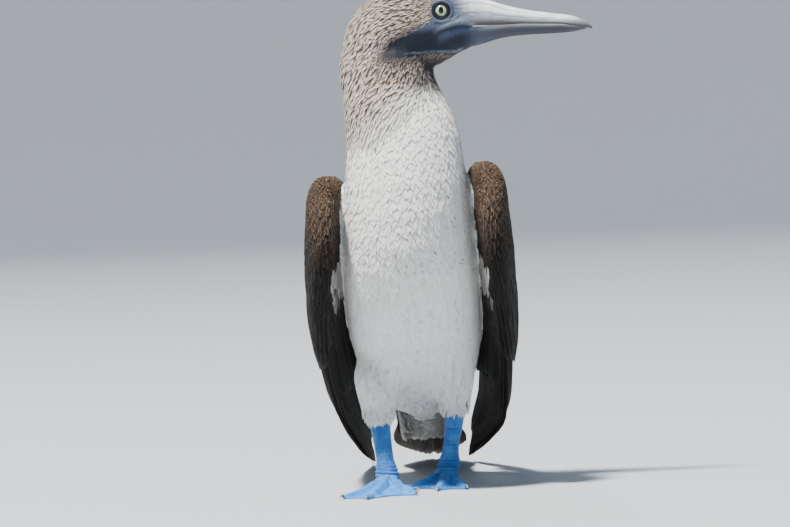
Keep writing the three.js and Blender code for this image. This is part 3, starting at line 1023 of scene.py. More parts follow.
@dataclass(frozen=True)
class SkinFinish(Finish):
    """The skin under the coat and the bare slate face, with pores, fine folds and a dull shine."""

    name: str = "look_skin"

    def build(self, shader: Shader) -> None:
        """Add the nodes.

        Args:
            shader: The material's nodes.
        """
        place = shader.place()
        bare, streaky, _ = shader.split(shader.attribute("bare", "Vector"))
        cloud = shader.noise(place, 130.0, 4.0)
        fold = shader.noise(shader.scaled(place, (0.7, 1.0, 1.7)), 560.0, 4.0, 0.65)
        pore = shader.cells(place, 1300.0)
        lock = shader.noise(shader.scaled(place, (1.0, 1.0, 0.25)), 900.0, 2.0)
        furred = 0.55 + 0.9 * (lock - 0.5) * streaky + 0.45 * (1.0 - streaky)
        naked = 0.45 + 0.9 * cloud + 1.0 * (fold - 0.5)
        tone = naked * bare + furred * (1.0 - bare)
        colour = shader.shaded(shader.attribute("skin_colour"), tone)
        rough = 0.85 - 0.28 * bare + 0.25 * (cloud - 0.5)
        shader.feed(Base_Color=colour, Roughness=rough, Specular_IOR_Level=0.25)
        shader.bump(fold * 0.8 + pore * 0.35, 0.00055, 0.9)


@dataclass(frozen=True)
class BillFinish(Finish):
    """Horn with long fine grain, a little wear and a soft gloss over its painted colour."""

    name: str = "look_bill_horn"
    dark: tuple = tint(70, 62, 60)

    def build(self, shader: Shader) -> None:
        """Add the nodes.

        Args:
            shader: The material's nodes.
        """
        place = shader.place()
        grain = shader.noise(shader.scaled(place, (0.05, 1.0, 1.3)), 480.0, 6.0, 0.7)
        cloud = shader.noise(shader.scaled(place, (0.5, 1.0, 1.0)), 160.0, 4.0)
        colour = shader.mix(grain.step(0.5, 0.66) * 0.55, shader.attribute("horn_colour"), self.dark)
        colour = shader.shaded(colour, 0.42 + 0.6 * grain + 0.45 * cloud)
        shader.feed(Base_Color=colour, Roughness=0.4 + 0.3 * cloud, Specular_IOR_Level=0.3)
        shader.bump(grain * 0.9 + cloud * 0.4, 0.0006)


@dataclass(frozen=True)
class EyeFinish(Finish):
    """A pale yellow-green iris with a ragged dark pupil and painted shade over its upper part, under a wet
    gloss.
    """

    name: str = "look_eye"
    iris: tuple = tint(186, 202, 158)
    rim: tuple = tint(84, 98, 76)
    pupil: tuple = (0.004, 0.005, 0.006)
    white: tuple = tint(40, 44, 52)
    pupil_radius: float = 2.35
    iris_radius: float = 5.2

    def build(self, shader: Shader) -> None:
        """Add the nodes.

        Args:
            shader: The material's nodes.
        """
        across, up, _ = shader.split(shader.attribute("eye_mm", "Vector"))
        tall = up * 0.86 - 0.15
        oval = shader.root(across * across * 1.25 + tall * tall * 0.86)
        radius = shader.root(across * across + up * up)
        angle = shader.node("ShaderNodeMath", {"operation": "ARCTAN2"}, {0: up, 1: across})
        spokes = shader.node("ShaderNodeCombineXYZ", {}, {0: angle * 6.0, 1: radius * 0.5, 2: 0.0})
        fibre = shader.noise(spokes, 2.0, 3.0)
        lobe = (angle * 3.0 + 0.8).sine() * 0.09
        inside = (oval + lobe).step(self.pupil_radius - 0.2, self.pupil_radius + 0.3)
        outer = radius.step(self.iris_radius - 1.9, self.iris_radius)
        # Darker towards the iris's rim, with painted shade over its upper part.
        iris = shader.mix((outer * 0.85 + 0.5 * up.step(0.6, 3.6)).clamp(), self.iris, self.rim)
        colour = shader.mix(inside, self.pupil, shader.shaded(iris, 0.7 + 0.6 * fibre))
        colour = shader.mix(radius.step(self.iris_radius, self.iris_radius + 0.5), colour, self.white)
        shader.feed(Base_Color=colour, Roughness=0.2, Specular_IOR_Level=0.15)
        shader.feed(Coat_Weight=0.45, Coat_Roughness=0.03)


@dataclass(frozen=True)
class LegFinish(Finish):
    """Vivid blue skin of legs, toes and webs: scutes in front, fine net scales and folds elsewhere, with
    painted shade in the folds' troughs.
    """

    name: str = "look_blue_skin"
    blue: tuple = (0.030, 0.20, 0.66)
    pale: tuple = (0.085, 0.36, 0.82)
    deep: tuple = (0.008, 0.06, 0.32)

    def build(self, shader: Shader) -> None:
        """Add the nodes.

        Args:
            shader: The material's nodes.
        """
        place = shader.place()
        web, scute_gap_and_fold_shade, _ = shader.split(shader.attribute("leg", "Vector"))
        cloud = shader.noise(place, 120.0, 4.0)
        scales = shader.cells(place, 720.0, "DISTANCE_TO_EDGE")
        gap = scales.step(0.09, 0.0)
        colour = shader.mix(cloud.step(0.3, 0.75), self.blue, self.pale)
        colour = shader.mix(gap * 0.45 * (1.0 - 0.6 * web), colour, self.deep)
        # Deep blue in the gaps between the front scutes, and painted shade in the folds' troughs.
        colour = shader.mix(scute_gap_and_fold_shade * 0.6, colour, self.deep)
        shader.feed(Base_Color=colour, Roughness=0.5 + 0.2 * (cloud - 0.5), Specular_IOR_Level=0.4)
        crease = shader.noise(place, 480.0, 3.0)
        shader.bump(scales.step(0.0, 0.14) * (1.0 - 0.6 * web) + crease * 0.7, 0.0005)


@dataclass(frozen=True)
class ClawFinish(Finish):
    """Grey-brown claws with a paler tip and long fine grain."""

    name: str = "look_claw_horn"
    horn: tuple = tint(96, 92, 94)
    pale: tuple = tint(168, 160, 152)

    def build(self, shader: Shader) -> None:
        """Add the nodes.

        Args:
            shader: The material's nodes.
        """
        along = shader.split(shader.attribute("claw", "Vector"))[0]
        grain = shader.noise(shader.place(), 1400.0, 3.0)
        colour = shader.mix((along + 0.3 * (grain - 0.5)).step(0.3, 1.0), self.horn, self.pale)
        shader.feed(Base_Color=colour, Roughness=0.34 + 0.3 * (grain - 0.4))
        shader.bump(grain, 0.0001)


@dataclass(frozen=True)
class FloorFinish(Finish):
    """A plain pale floor with the faintest mottle."""

    name: str = "look_floor"
    pale: tuple = tint(176, 182, 188)

    def build(self, shader: Shader) -> None:
        """Add the nodes.

        Args:
            shader: The material's nodes.
        """
        cloud = shader.noise(shader.place(), 3.0, 3.0)
        colour = shader.mix(0.12 * cloud, self.pale, tuple(0.8 * c for c in self.pale))
        shader.feed(Base_Color=colour, Roughness=0.75)


# The skin


@dataclass
class Skin:
    """One skin over head, neck, body, thighs, the wings' arms and the tail's root, inside the coat."""

    grow: float = 0.35
    voxel: float = 2.0
    passes: int = 6
    depth_body: float = 1.9
    depth_head: float = 1.1
    tree: Optional[BVHTree] = None
    points: Array = field(default_factory=lambda: np.zeros((0, 3)))
    piece: Optional[bpy.types.Object] = None

    def build(self, extra: Sequence[bpy.types.Object]) -> bpy.types.Object:
        """Fuse the flesh, sink it by the coat's depth, and shape the face on it.

        Args:
            extra: Closed cores that the skin takes in too.

        Returns:
            The finished skin.
        """
        flesh = copies_joined("flesh", FLESH, self.grow * MM)
        fill = [self.socket_fill(side) for side in Side]
        self.piece = joined("body_skin", [flesh, *fill, self.bill_root(), *extra])
        remesh(self.piece, self.voxel, self.passes)
        self.soften_hips()
        self.sink()
        self.refine_face()
        self.shape_face()
        self.piece = joined("body_skin", [self.piece, *[self.lids(side) for side in Side]])
        self.paint_skin()
        return self.piece

    def socket_fill(self, side: Side) -> bpy.types.Object:
        """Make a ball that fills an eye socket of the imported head, a little below the cheek.

        Args:
            side: The eye's side.

        Returns:
            The ball.
        """
        y = HEAD_Y + side.value * (CHEEK - 1.0 - SOCKET_RADIUS)
        deselect_all()
        bpy.ops.mesh.primitive_uv_sphere_add(
            segments=32, ring_count=16, radius=SOCKET_RADIUS * MM, location=to_frame([EYE_X, y, EYE_Z]),
        )
        bpy.ops.object.transform_apply(location=True, rotation=True, scale=True)
        return bpy.context.object

    def bill_root(self) -> bpy.types.Object:
        """Make the tongue of skin that thins out over the bill's base.

        Returns:
            A closed loft that tapers below the bill's surface.
        """
        x = np.linspace(40, 69, 16)
        turn = ring_turns(40)
        row = head_at(x)[:, None, :]
        size = np.interp(x, [40, 54, 60, 66, 68.9, 69], [0.9, 1.0, 1.005, 0.965, 0.9, 0.0])[:, None]
        reach = np.where(np.sin(turn) > 0, row[..., 2], row[..., 3])
        rings = stacked(
            row[..., 0],
            HEAD_Y + size * row[..., 4] * np.cos(turn),
            row[..., 1] + size * reach * np.sin(turn),
        )
        rings[0] = rings[0].mean(0)
        return loft("bill_root", to_frame(rings))

    def soften_hips(self) -> None:
        """Smooth the creases where the thighs leave the belly."""
        points = to_design(mesh_points(self.piece))
        y_share = smooth(110, 80, points[:, 1])
        near = smooth(70, 84, points[:, 2]) * smooth(150, 122, points[:, 2]) * y_share
        group = self.piece.vertex_groups.new(name="hips")
        for number in np.flatnonzero(near > 0.02):
            group.add([int(number)], float(near[number]), "REPLACE")
        apply_modifier(self.piece, "SMOOTH", factor=0.5, iterations=90, vertex_group="hips")
        self.piece.vertex_groups.clear()

    def sink(self) -> None:
        """Move the skin in by the depth of the feathers that lie on it."""
        points = to_design(mesh_points(self.piece))
        normals = mesh_normals(self.piece)
        head = smooth(350, 385, points[:, 2])
        depth = self.grow + self.depth_body * (1 - head) + self.depth_head * head
        away = np.maximum(0, -MARKINGS.face_distance(points))
        depth = self.grow + (depth - self.grow) * smooth(0, 7, away)
        depth = depth * (1 - 0.6 * MARKINGS.arm(points))
        set_points(self.piece, to_frame(points - normals * depth[:, None]))

    def refine_face(self) -> None:
        """Cut the face's squares finer, and those round the eyes finer again."""
        for reach in (34.0, 13.0):
            points = to_design(mesh_points(self.piece))
            near = np.hypot(points[:, 0] - EYE_X, points[:, 2] - EYE_Z) < reach
            near &= (points[:, 2] > 362) & (points[:, 0] > -16)
            activate(self.piece)
            bpy.ops.object.mode_set(mode="EDIT")
            bpy.ops.mesh.select_mode(type="VERT")
            bpy.ops.mesh.select_all(action="DESELECT")
            bpy.ops.object.mode_set(mode="OBJECT")
            self.piece.data.vertices.foreach_set("select", near)
            bpy.ops.object.mode_set(mode="EDIT")
            bpy.ops.mesh.subdivide(number_cuts=1, smoothness=0.0)
            bpy.ops.object.mode_set(mode="OBJECT")

    def shape_face(self) -> None:
        """Raise the brow and the gape's folds, and dish the skin behind each eyeball."""
        points = to_design(mesh_points(self.piece))
        normals = mesh_normals(self.piece)
        x, z = points[:, 0], points[:, 2]
        side = np.sign(points[:, 1] - HEAD_Y)
        ring = np.hypot(x - EYE_X, z - EYE_Z)
        lift = 0.45 * np.exp(-(((ring - 9.2) / 1.3) ** 2))
        lift += ridge(x, z, GAPE_FOLD, 2.6, 0.45) * smooth(26, 40, x)
        lift -= ridge(x, z, GAPE_GROOVE, 1.3, 0.55) * smooth(30, 40, x)
        lift += ridge(x, z, SOFT_FOLD, 3.0, 0.6)
        lift += ridge(x, z, GULAR_RIDGE, 1.1, 1.0)
        lift += ridge(x, z, BROW_FOLD, 1.0, 0.5)
        cheek = (np.abs(points[:, 1] - HEAD_Y) > 8) & (z > 360)
        points = points + normals * (lift * cheek)[:, None]
        dish = smooth(EYE_OPENING + 1.0, EYE_OPENING - 1.4, ring) * (x > 20)
        points[:, 1] -= side * 3.4 * dish
        set_points(self.piece, to_frame(points))

    def lids(self, side: Side) -> bpy.types.Object:
        """Make one eye's rim of bare skin, a ring set into the skin.

        Args:
            side: The eye's side.

        Returns:
            The ring.
        """
        inset = math.sqrt(EYE_RADIUS**2 - EYE_OPENING**2)
        centre = [EYE_X, HEAD_Y + side.value * (CHEEK - EYE_RADIUS + inset - 0.15), EYE_Z]
        around, section = grid(ring_turns(96), ring_turns(14))
        thick = 1.55 + 0.12 * np.sin(around * 2 + 0.6) + 0.05 * np.sin(around * 29)
        far = EYE_OPENING + 0.95 + thick * np.cos(section)
        rings = np.stack([
            centre[0] + far * np.cos(around) * 0.94,
            centre[1] + side.value * 0.8 * thick * np.sin(section),
            centre[2] + far * np.sin(around) * 1.06,
        ], -1)
        closed = np.concatenate([rings, rings[:1]])
        return loft(f"lid_{side.word}", to_frame(closed))

    def paint_skin(self) -> None:
        """Store the skin's markings and dress it."""
        points = to_design(mesh_points(self.piece))
        paint(self.piece, "skin_colour", MARKINGS.skin(points))
        bare = MARKINGS.naked(points)
        streaky = 0.25 + 0.75 * MARKINGS.streaks(points)
        store(self.piece, "bare", np.stack([bare, streaky, bare], -1))
        SkinFinish().dress(self.piece)
        self.points = mesh_points(self.piece)
        faces = [tuple(face.vertices) for face in self.piece.data.polygons]
        self.tree = BVHTree.FromPolygons([Vector(p) for p in self.points], faces)


def ridge(x: Array, z: Array, route: Sequence[Sequence[float]], width: float, height: float) -> Array:
    """Give the height of a soft ridge along a route seen from the side.

    Args:
        x: Points along.
        z: Points up.
        route: Points of the ridge's line.
        width: Its half width.
        height: Its height at the line.

    Returns:
        Heights in millimetres.
    """
    line = Spline(route).at(np.linspace(0, 1, 40))
    near = np.full(len(x), FAR)
    for px, pz in line:
        near = np.minimum(near, (x - px) ** 2 + (z - pz) ** 2)
    return height * np.exp(-near / width**2)


# The coat

STREAKED = PlumageFinish("look_hackles", 0.3, 0.78)
WHITE = PlumageFinish("look_white", tip_to=0.6, edge=0.15, tone=0.07, barbs=0.5)
MANTLE = PlumageFinish("look_mantle", 0.55, 0.98)


@dataclass(frozen=True)
class FeatherForm:
    """The outline and grid of one kind of feather."""

    rows: int = 6
    columns: int = 4
    root: float = 0.35
    widest: float = 0.6
    point: float = 0.25
    arch: float = 0.12
    ragged: float = 0.1
    sharp: float = 2.0
    thick: float = 0.0
    tilt: float = 0.1

    def half(self, share: Array) -> Array:
        """Give the half width at shares of the length, where 1 is the full half width."""
        rise = self.root + (1 - self.root) * np.sin(np.clip(share / self.widest, 0, 1) * math.pi / 2)
        fall = np.clip((share - self.widest) / (1 - self.widest), 0, 1)
        return rise * (1 - (1 - self.point ** (1 / 0.6)) * fall**self.sharp) ** 0.6


HACKLE = FeatherForm(rows=5, columns=2, root=0.45, widest=0.4, point=0.1, arch=0.2, sharp=1.7)
SCALE = FeatherForm(rows=6, columns=4, root=0.6, widest=0.5, point=0.3, arch=0.08, ragged=0.08, tilt=0.05)
DOWNY = FeatherForm(rows=6, columns=4, root=0.75, widest=0.6, point=0.4, arch=0.02, ragged=0.04, tilt=0.0)


SMALL_COVERT = FeatherForm(rows=6, columns=4, root=0.6, widest=0.6, point=0.35, arch=0.08, ragged=0.06)
LINING = FeatherForm(rows=7, columns=4, root=0.5, widest=0.6, point=0.25, arch=0.1, ragged=0.1)
TAIL_COVERT = FeatherForm(rows=8, columns=4, root=0.5, widest=0.6, point=0.25, arch=0.1, ragged=0.06)
STIFF = {"point": 0.12, "arch": 0.06, "ragged": 0.02, "thick": 0.35}
LONG = FeatherForm(rows=16, columns=6, root=0.6, widest=0.72, **STIFF)
STEERING = FeatherForm(rows=24, columns=8, root=0.5, widest=0.62, **STIFF)


@dataclass(frozen=True)
class Plumes:
    """Feathers of one form, by the size and colours of each, that one mesh joins."""

    form: FeatherForm
    length: Array
    width: Array
    tips: Array
    bases: Array
    finish: Finish

    def grow(
        self, name: str, seed: int, centres: Array, across: Array, normals: Array, lift: Array, chart: Array,
    ) -> bpy.types.Object:
        """Join the feathers into one mesh with its attributes and map.

        Args:
            name: The piece's name.
            seed: The seed of its random draws.
            centres: Middle line points by feather and row, in design millimetres.
            across: Unit vectors across the vane, by feather and row.
            normals: Unit vectors off the skin, by feather and row.
            lift: Height over the skin by feather and row.
            chart: Each root's place on the unwrap, from 0 to 1.

        Returns:
            The coat piece.
        """
        draw = np.random.default_rng(seed)
        count, rows = centres.shape[:2]
        columns = self.form.columns + 1
        each = rows * columns
        share = np.linspace(0, 1, rows)[:, None]
        side = np.linspace(-1, 1, columns)
        width, length = self.width[:, None, None], self.length[:, None, None]
        half = self.form.half(share) * width / 2
        torn = self.form.ragged * draw.standard_normal((count, rows, columns))
        offset = half * side * (1 + torn * np.abs(side) * (share > 0.3))
        sag = -self.form.arch * np.abs(side) ** 1.5 * half
        tilt = self.form.tilt * draw.uniform(-1, 1, count)[:, None, None] * offset
        points = (
            centres[:, :, None, :]
            + across[:, :, None, :] * offset[..., None]
            + normals[:, :, None, :] * (lift[:, :, None] + sag + tilt)[..., None]
        )
        heading = unit(np.gradient(centres, axis=1))
        backward = -0.22 * (side**2) * (share > 0.55) * width * share
        backward = backward + torn * (share > 0.9) * 0.3 * length
        points += heading[:, :, None, :] * backward[..., None]
        faces = (sheet_faces(rows, columns) + (np.arange(count) * each)[:, None, None]).reshape(-1, 4)
        points[..., 2] = np.maximum(points[..., 2], LOWEST_FEATHER)
        flat = points.reshape(-1, 3)
        probe = flat[faces[0]]
        outside = np.cross(probe[1] - probe[0], probe[3] - probe[0]) @ normals[0, 0]
        faces = faces if outside > 0 else faces[:, ::-1]
        if self.form.thick:
            deep = self.form.thick * (1 - np.abs(side) ** 4) * (1 - (2 * share - 1) ** 8)
            under = points - normals[:, :, None, :] * deep[None, :, :, None]
            flat = np.concatenate([flat, under.reshape(-1, 3)])
            faces = np.concatenate([faces, faces[:, ::-1] + count * each])
        piece = mesh_object(name, to_frame(flat), faces)
        tone = draw.uniform(0, 1, count)[:, None, None]
        sheets = (2 if self.form.thick else 1, 1)
        store(piece, "vane", np.tile(stacked(side, share, tone).reshape(-1, 3), sheets))
        store(piece, "vane_mm", np.tile(stacked(offset, share * length, tone * 50).reshape(-1, 3), sheets))
        paint(piece, "tip_colour", np.tile(np.repeat(self.tips, each, axis=0), sheets))
        paint(piece, "base_colour", np.tile(np.repeat(self.bases, each, axis=0), sheets))
        spots = chart[:, None, None, :] + BAKE_PATCH * stacked(side / 2, share - 0.5)
        corner = np.empty(len(piece.data.loops), np.int32)
        piece.data.loops.foreach_get("vertex_index", corner)
        spots = np.tile(spots.reshape(-1, 2), sheets)[corner]
        piece.data.uv_layers.new(name="OFBake").data.foreach_set("uv", spots.astype(np.float32).ravel())
        self.finish.dress(piece)
        return piece


@dataclass(frozen=True)
class CoatZone:
    """One stretch of the coat: which roots it takes and how its feathers are sized."""

    name: str
    form: FeatherForm
    spacing: float
    stretch: float
    length: float
    width: float
    lift: float
    finish: Finish
    slot: str


@dataclass
class Coat:
    """All small feathers on the skin, laid along the body's own lie."""

    skin: Skin
    candidates: int = 420000
    zones: tuple[CoatZone, ...] = (
        CoatZone("head_hackles", HACKLE, 1.1, 3.0, 10.5, 1.75, 1.35, STREAKED, "streaked_plumage"),
        CoatZone("neck_hackles", HACKLE, 1.4, 2.8, 13.5, 2.4, 1.6, STREAKED, "streaked_plumage"),
        CoatZone("breast_feathers", SCALE, 2.5, 1.4, 13.5, 6.4, 0.85, WHITE, "white_plumage"),
        CoatZone("belly_feathers", DOWNY, 2.7, 1.5, 18.0, 7.4, 0.55, WHITE, "white_plumage"),
        CoatZone("back_feathers", SCALE, 3.4, 1.4, 18.0, 8.4, 1.9, MANTLE, "brown_plumage"),
        CoatZone("thigh_feathers", SCALE, 1.9, 1.6, 8.5, 3.2, 1.1, WHITE, "white_plumage"),
    )

    def flow(self, points: Array) -> Array:
        """Give the way the coat lies, from the bill back and down to the tail.

        Args:
            points: Design millimetres.

        Returns:
            Unit vectors, not yet laid on the skin.
        """
        x, y, z = points.T
        head = smooth(362, 398, z + 0.35 * (x + 10))
        nape = smooth(0, -45, x)
        wave = 0.2 * np.sin(0.55 * x + 0.4 * y + 0.35 * z) + 0.16 * np.sin(1.1 * z - 0.5 * x + 0.3 * y)
        turn = np.stack([-np.ones_like(x), 0 * x, wave - 0.25 - 1.3 * nape], -1)
        down = np.stack([wave - 0.6 * smooth(285, 345, z), 0.05 + 0 * x, -np.ones_like(x)], -1)
        hind = smooth(250, 150, z)
        down[:, 1] += 0.85 * hind
        thigh = self.thigh(points)
        down[:, 1] = down[:, 1] * (1 - 0.8 * thigh)
        return unit(turn * head[:, None] + down * (1 - head[:, None]))

    def thigh(self, points: Array) -> Array:
        """Give the share of the thighs, 1 on their hems."""
        return smooth(86, 72, points[:, 2]) * smooth(66, 56, points[:, 1])

    def zone_of(self, points: Array) -> Array:
        """Number the zone that each point falls in, or -1 where no small feather grows."""
        y, z = points[:, 1], points[:, 2]
        zone = np.full(len(points), 2)
        zone[z < 196] = 3
        zone[(self.thigh(points) > 0.5)] = 5
        zone[MARKINGS.dorsal(points) > 0.5] = 4
        zone[(z > 300 - 26 * smooth(-20, 20, y)) & (MARKINGS.streaks(points) > 0.05)] = 1
        zone[z > 364] = 0
        zone[MARKINGS.arm(points) > 0.5] = -1
        zone[MARKINGS.bare(points) > 0.9] = -1
        zone[y > 168] = -1
        return zone

    def roots(self) -> tuple[Array, Array, Array]:
        """Scatter roots over the skin, further apart across zones of larger feathers.

        Returns:
            Points in design millimetres, skin normals and zone numbers.
        """
        draw = np.random.default_rng(SEED)
        mesh = self.skin.piece.data
        mesh.calc_loop_triangles()
        corner = np.empty(len(mesh.loop_triangles) * 3, np.int32)
        mesh.loop_triangles.foreach_get("vertices", corner)
        triangles = to_design(self.skin.points)[corner.reshape(-1, 3)]
        cross = np.cross(triangles[:, 1] - triangles[:, 0], triangles[:, 2] - triangles[:, 0])
        area = np.linalg.norm(cross, axis=1)
        middle = triangles.mean(1)
        zone = self.zone_of(middle)
        need = np.choose(zone + 1, [0.0, 6.0, 2.5, 1.0, 0.8, 0.6, 1.4]) / self.local_size(middle) ** 2
        chosen = draw.choice(len(area), self.candidates, p=area * need / (area * need).sum())
        one, two = np.sqrt(draw.random(self.candidates)), draw.random(self.candidates)
        weights = np.stack([1 - one, one * (1 - two), one * two], -1)
        points = (triangles[chosen] * weights[..., None]).sum(1)
        normals = unit(cross[chosen])
        zones = self.zone_of(points)
        keep = zones >= 0
        points, normals, zones = points[keep], normals[keep], zones[keep]
        kept = self.thinned(points, normals, zones)
        return points[kept], normals[kept], zones[kept]

    def thinned(self, points: Array, normals: Array, zones: Array) -> Array:
        """Keep roots that lie apart, closer along the lie than across it.

        Args:
            points: All roots.
            normals: Their normals.
            zones: Their zone numbers.

        Returns:
            The numbers of the roots that stay.
        """
        tree = nearest_tree(points)
        lie = square_to(self.flow(points), normals)
        free = np.ones(len(points), bool)
        kept = []
        size = self.local_size(points)
        for number in range(len(points)):
            if not free[number]:
                continue
            kept.append(number)
            zone = self.zones[zones[number]]
            apart = zone.spacing * size[number]
            found = tree.find_range(points[number], apart * zone.stretch)
            near = np.array([index for _, index, _ in found])
            delta = points[near] - points[number]
            along = delta @ lie[number]
            across = (delta**2).sum(1) - along**2
            free[near[across + (along / zone.stretch) ** 2 < apart**2]] = False
        return np.array(kept)

    def chart(self, points: Array, zone: int) -> Array:
        """Place roots on an unwrap: the turn round the body's axis, and the share along it.

        Args:
            points: Roots in design millimetres.
            zone: The zone number, as the head unwraps about its own axis.

        Returns:
            Places from 0 to 1.
        """
        x, y, z = points.T
        if zone == 0:
            turn = np.arctan2(z - 388, y - HEAD_Y)
            share = (x + 56) / 122
        elif zone == 5:
            turn = np.arctan2(y - 26, x - 32 * np.sign(x)) / 2 + np.sign(x) * math.pi / 2
            share = (z - 40) / 60
        else:
            axis = BODY.at(np.linspace(0, 1, 160))
            turn = np.arctan2(y - np.interp(z, axis[::1, 2], axis[:, 1]), x)
            share = z / 400
        return np.stack([0.5 + turn / (2 * math.pi) * 0.96, 0.02 + 0.96 * np.clip(share, 0, 1)], -1)

    def build(self) -> list[bpy.types.Object]:
        """Make every zone's piece.

        Returns:
            The coat pieces, dressed.
        """
        points, normals, zones = self.roots()
        made = []
        for number, zone in enumerate(self.zones):
            own = zones == number
            made.append(self.zone_piece(zone, number, points[own], normals[own]))
            LOG.info("%s: %d feathers", zone.name, own.sum())
        return made

    def zone_piece(self, zone: CoatZone, number: int, roots: Array, normals: Array) -> bpy.types.Object:
        """Grow one zone's feathers row by row along the skin.

        Args:
            zone: The zone's sizes.
            number: The zone's number.
            roots: Its roots.
            normals: Their normals.

        Returns:
            The zone's mesh.
        """
        draw = np.random.default_rng(SEED + 10 + number)
        count = len(roots)
        rows = zone.form.rows
        size = self.local_size(roots)
        length = zone.length * draw.uniform(0.82, 1.18, count) * size
        width = zone.width * draw.uniform(0.85, 1.15, count) * size
        sway = draw.normal(0, 0.16, count)
        centres, across, up = (np.empty((count, rows, 3)) for _ in range(3))
        spot = roots.copy()
        normal = normals.copy()
        for row in range(rows):
            way = square_to(self.flow(spot), normal)
            side = np.cross(normal, way)
            way = unit(way + side * sway[:, None])
            side = np.cross(normal, way)
            centres[:, row], across[:, row], up[:, row] = spot, side, normal
            step = (length / (rows - 1))[:, None]
            free = spot + way * step
            _, y, z = free.T
            belly = 0.75 * smooth(60, 52, z) * smooth(78, 96, y) * smooth(150, 138, y)
            hang = np.maximum(self.thigh(free) * smooth(73, 66, z), belly)
            laid, normal = self.on_skin(free, normal)
            plumb = spot - np.array([0, 0, 0.85]) * step
            spot = laid * (1 - hang)[:, None] + plumb * hang[:, None]
        share = np.linspace(0, 1, rows)[None, :]
        high = (zone.lift * draw.uniform(0.75, 1.25, count) * size**0.7)[:, None]
        lift = -0.3 + (high + 0.3) * share**1.1
        plumes = Plumes(zone.form, length, width, MARKINGS.tip(roots), MARKINGS.base(roots), zone.finish)
        return plumes.grow(
            zone.name, SEED + 40 + number, centres, across, up, lift, self.chart(roots, number),
        )

    def local_size(self, roots: Array) -> Array:
        """Give how large feathers are against their zone's size: smallest next to the bare face."""
        away = np.maximum(0, -MARKINGS.face_distance(roots))
        head = smooth(345, 360, roots[:, 2])
        return 1.0 - head * 0.45 * smooth(14, 0, away)

    def on_skin(self, points: Array, normals: Array) -> tuple[Array, Array]:
        """Drop points on the skin.

        Args:
            points: Design millimetres.
            normals: The normals to keep where the skin is far away.

        Returns:
            The dropped points and their normals.
        """
        metres = to_frame(points)
        out = points.copy()
        face = normals.copy()
        for number, point in enumerate(metres):
            hit, normal, _, distance = self.skin.tree.find_nearest(Vector(point))
            if hit is not None and distance < 0.006:
                out[number] = hit
                face[number] = normal
            else:
                out[number] = point
        return to_design(out), unit(0.5 * normals + face)


# Wings


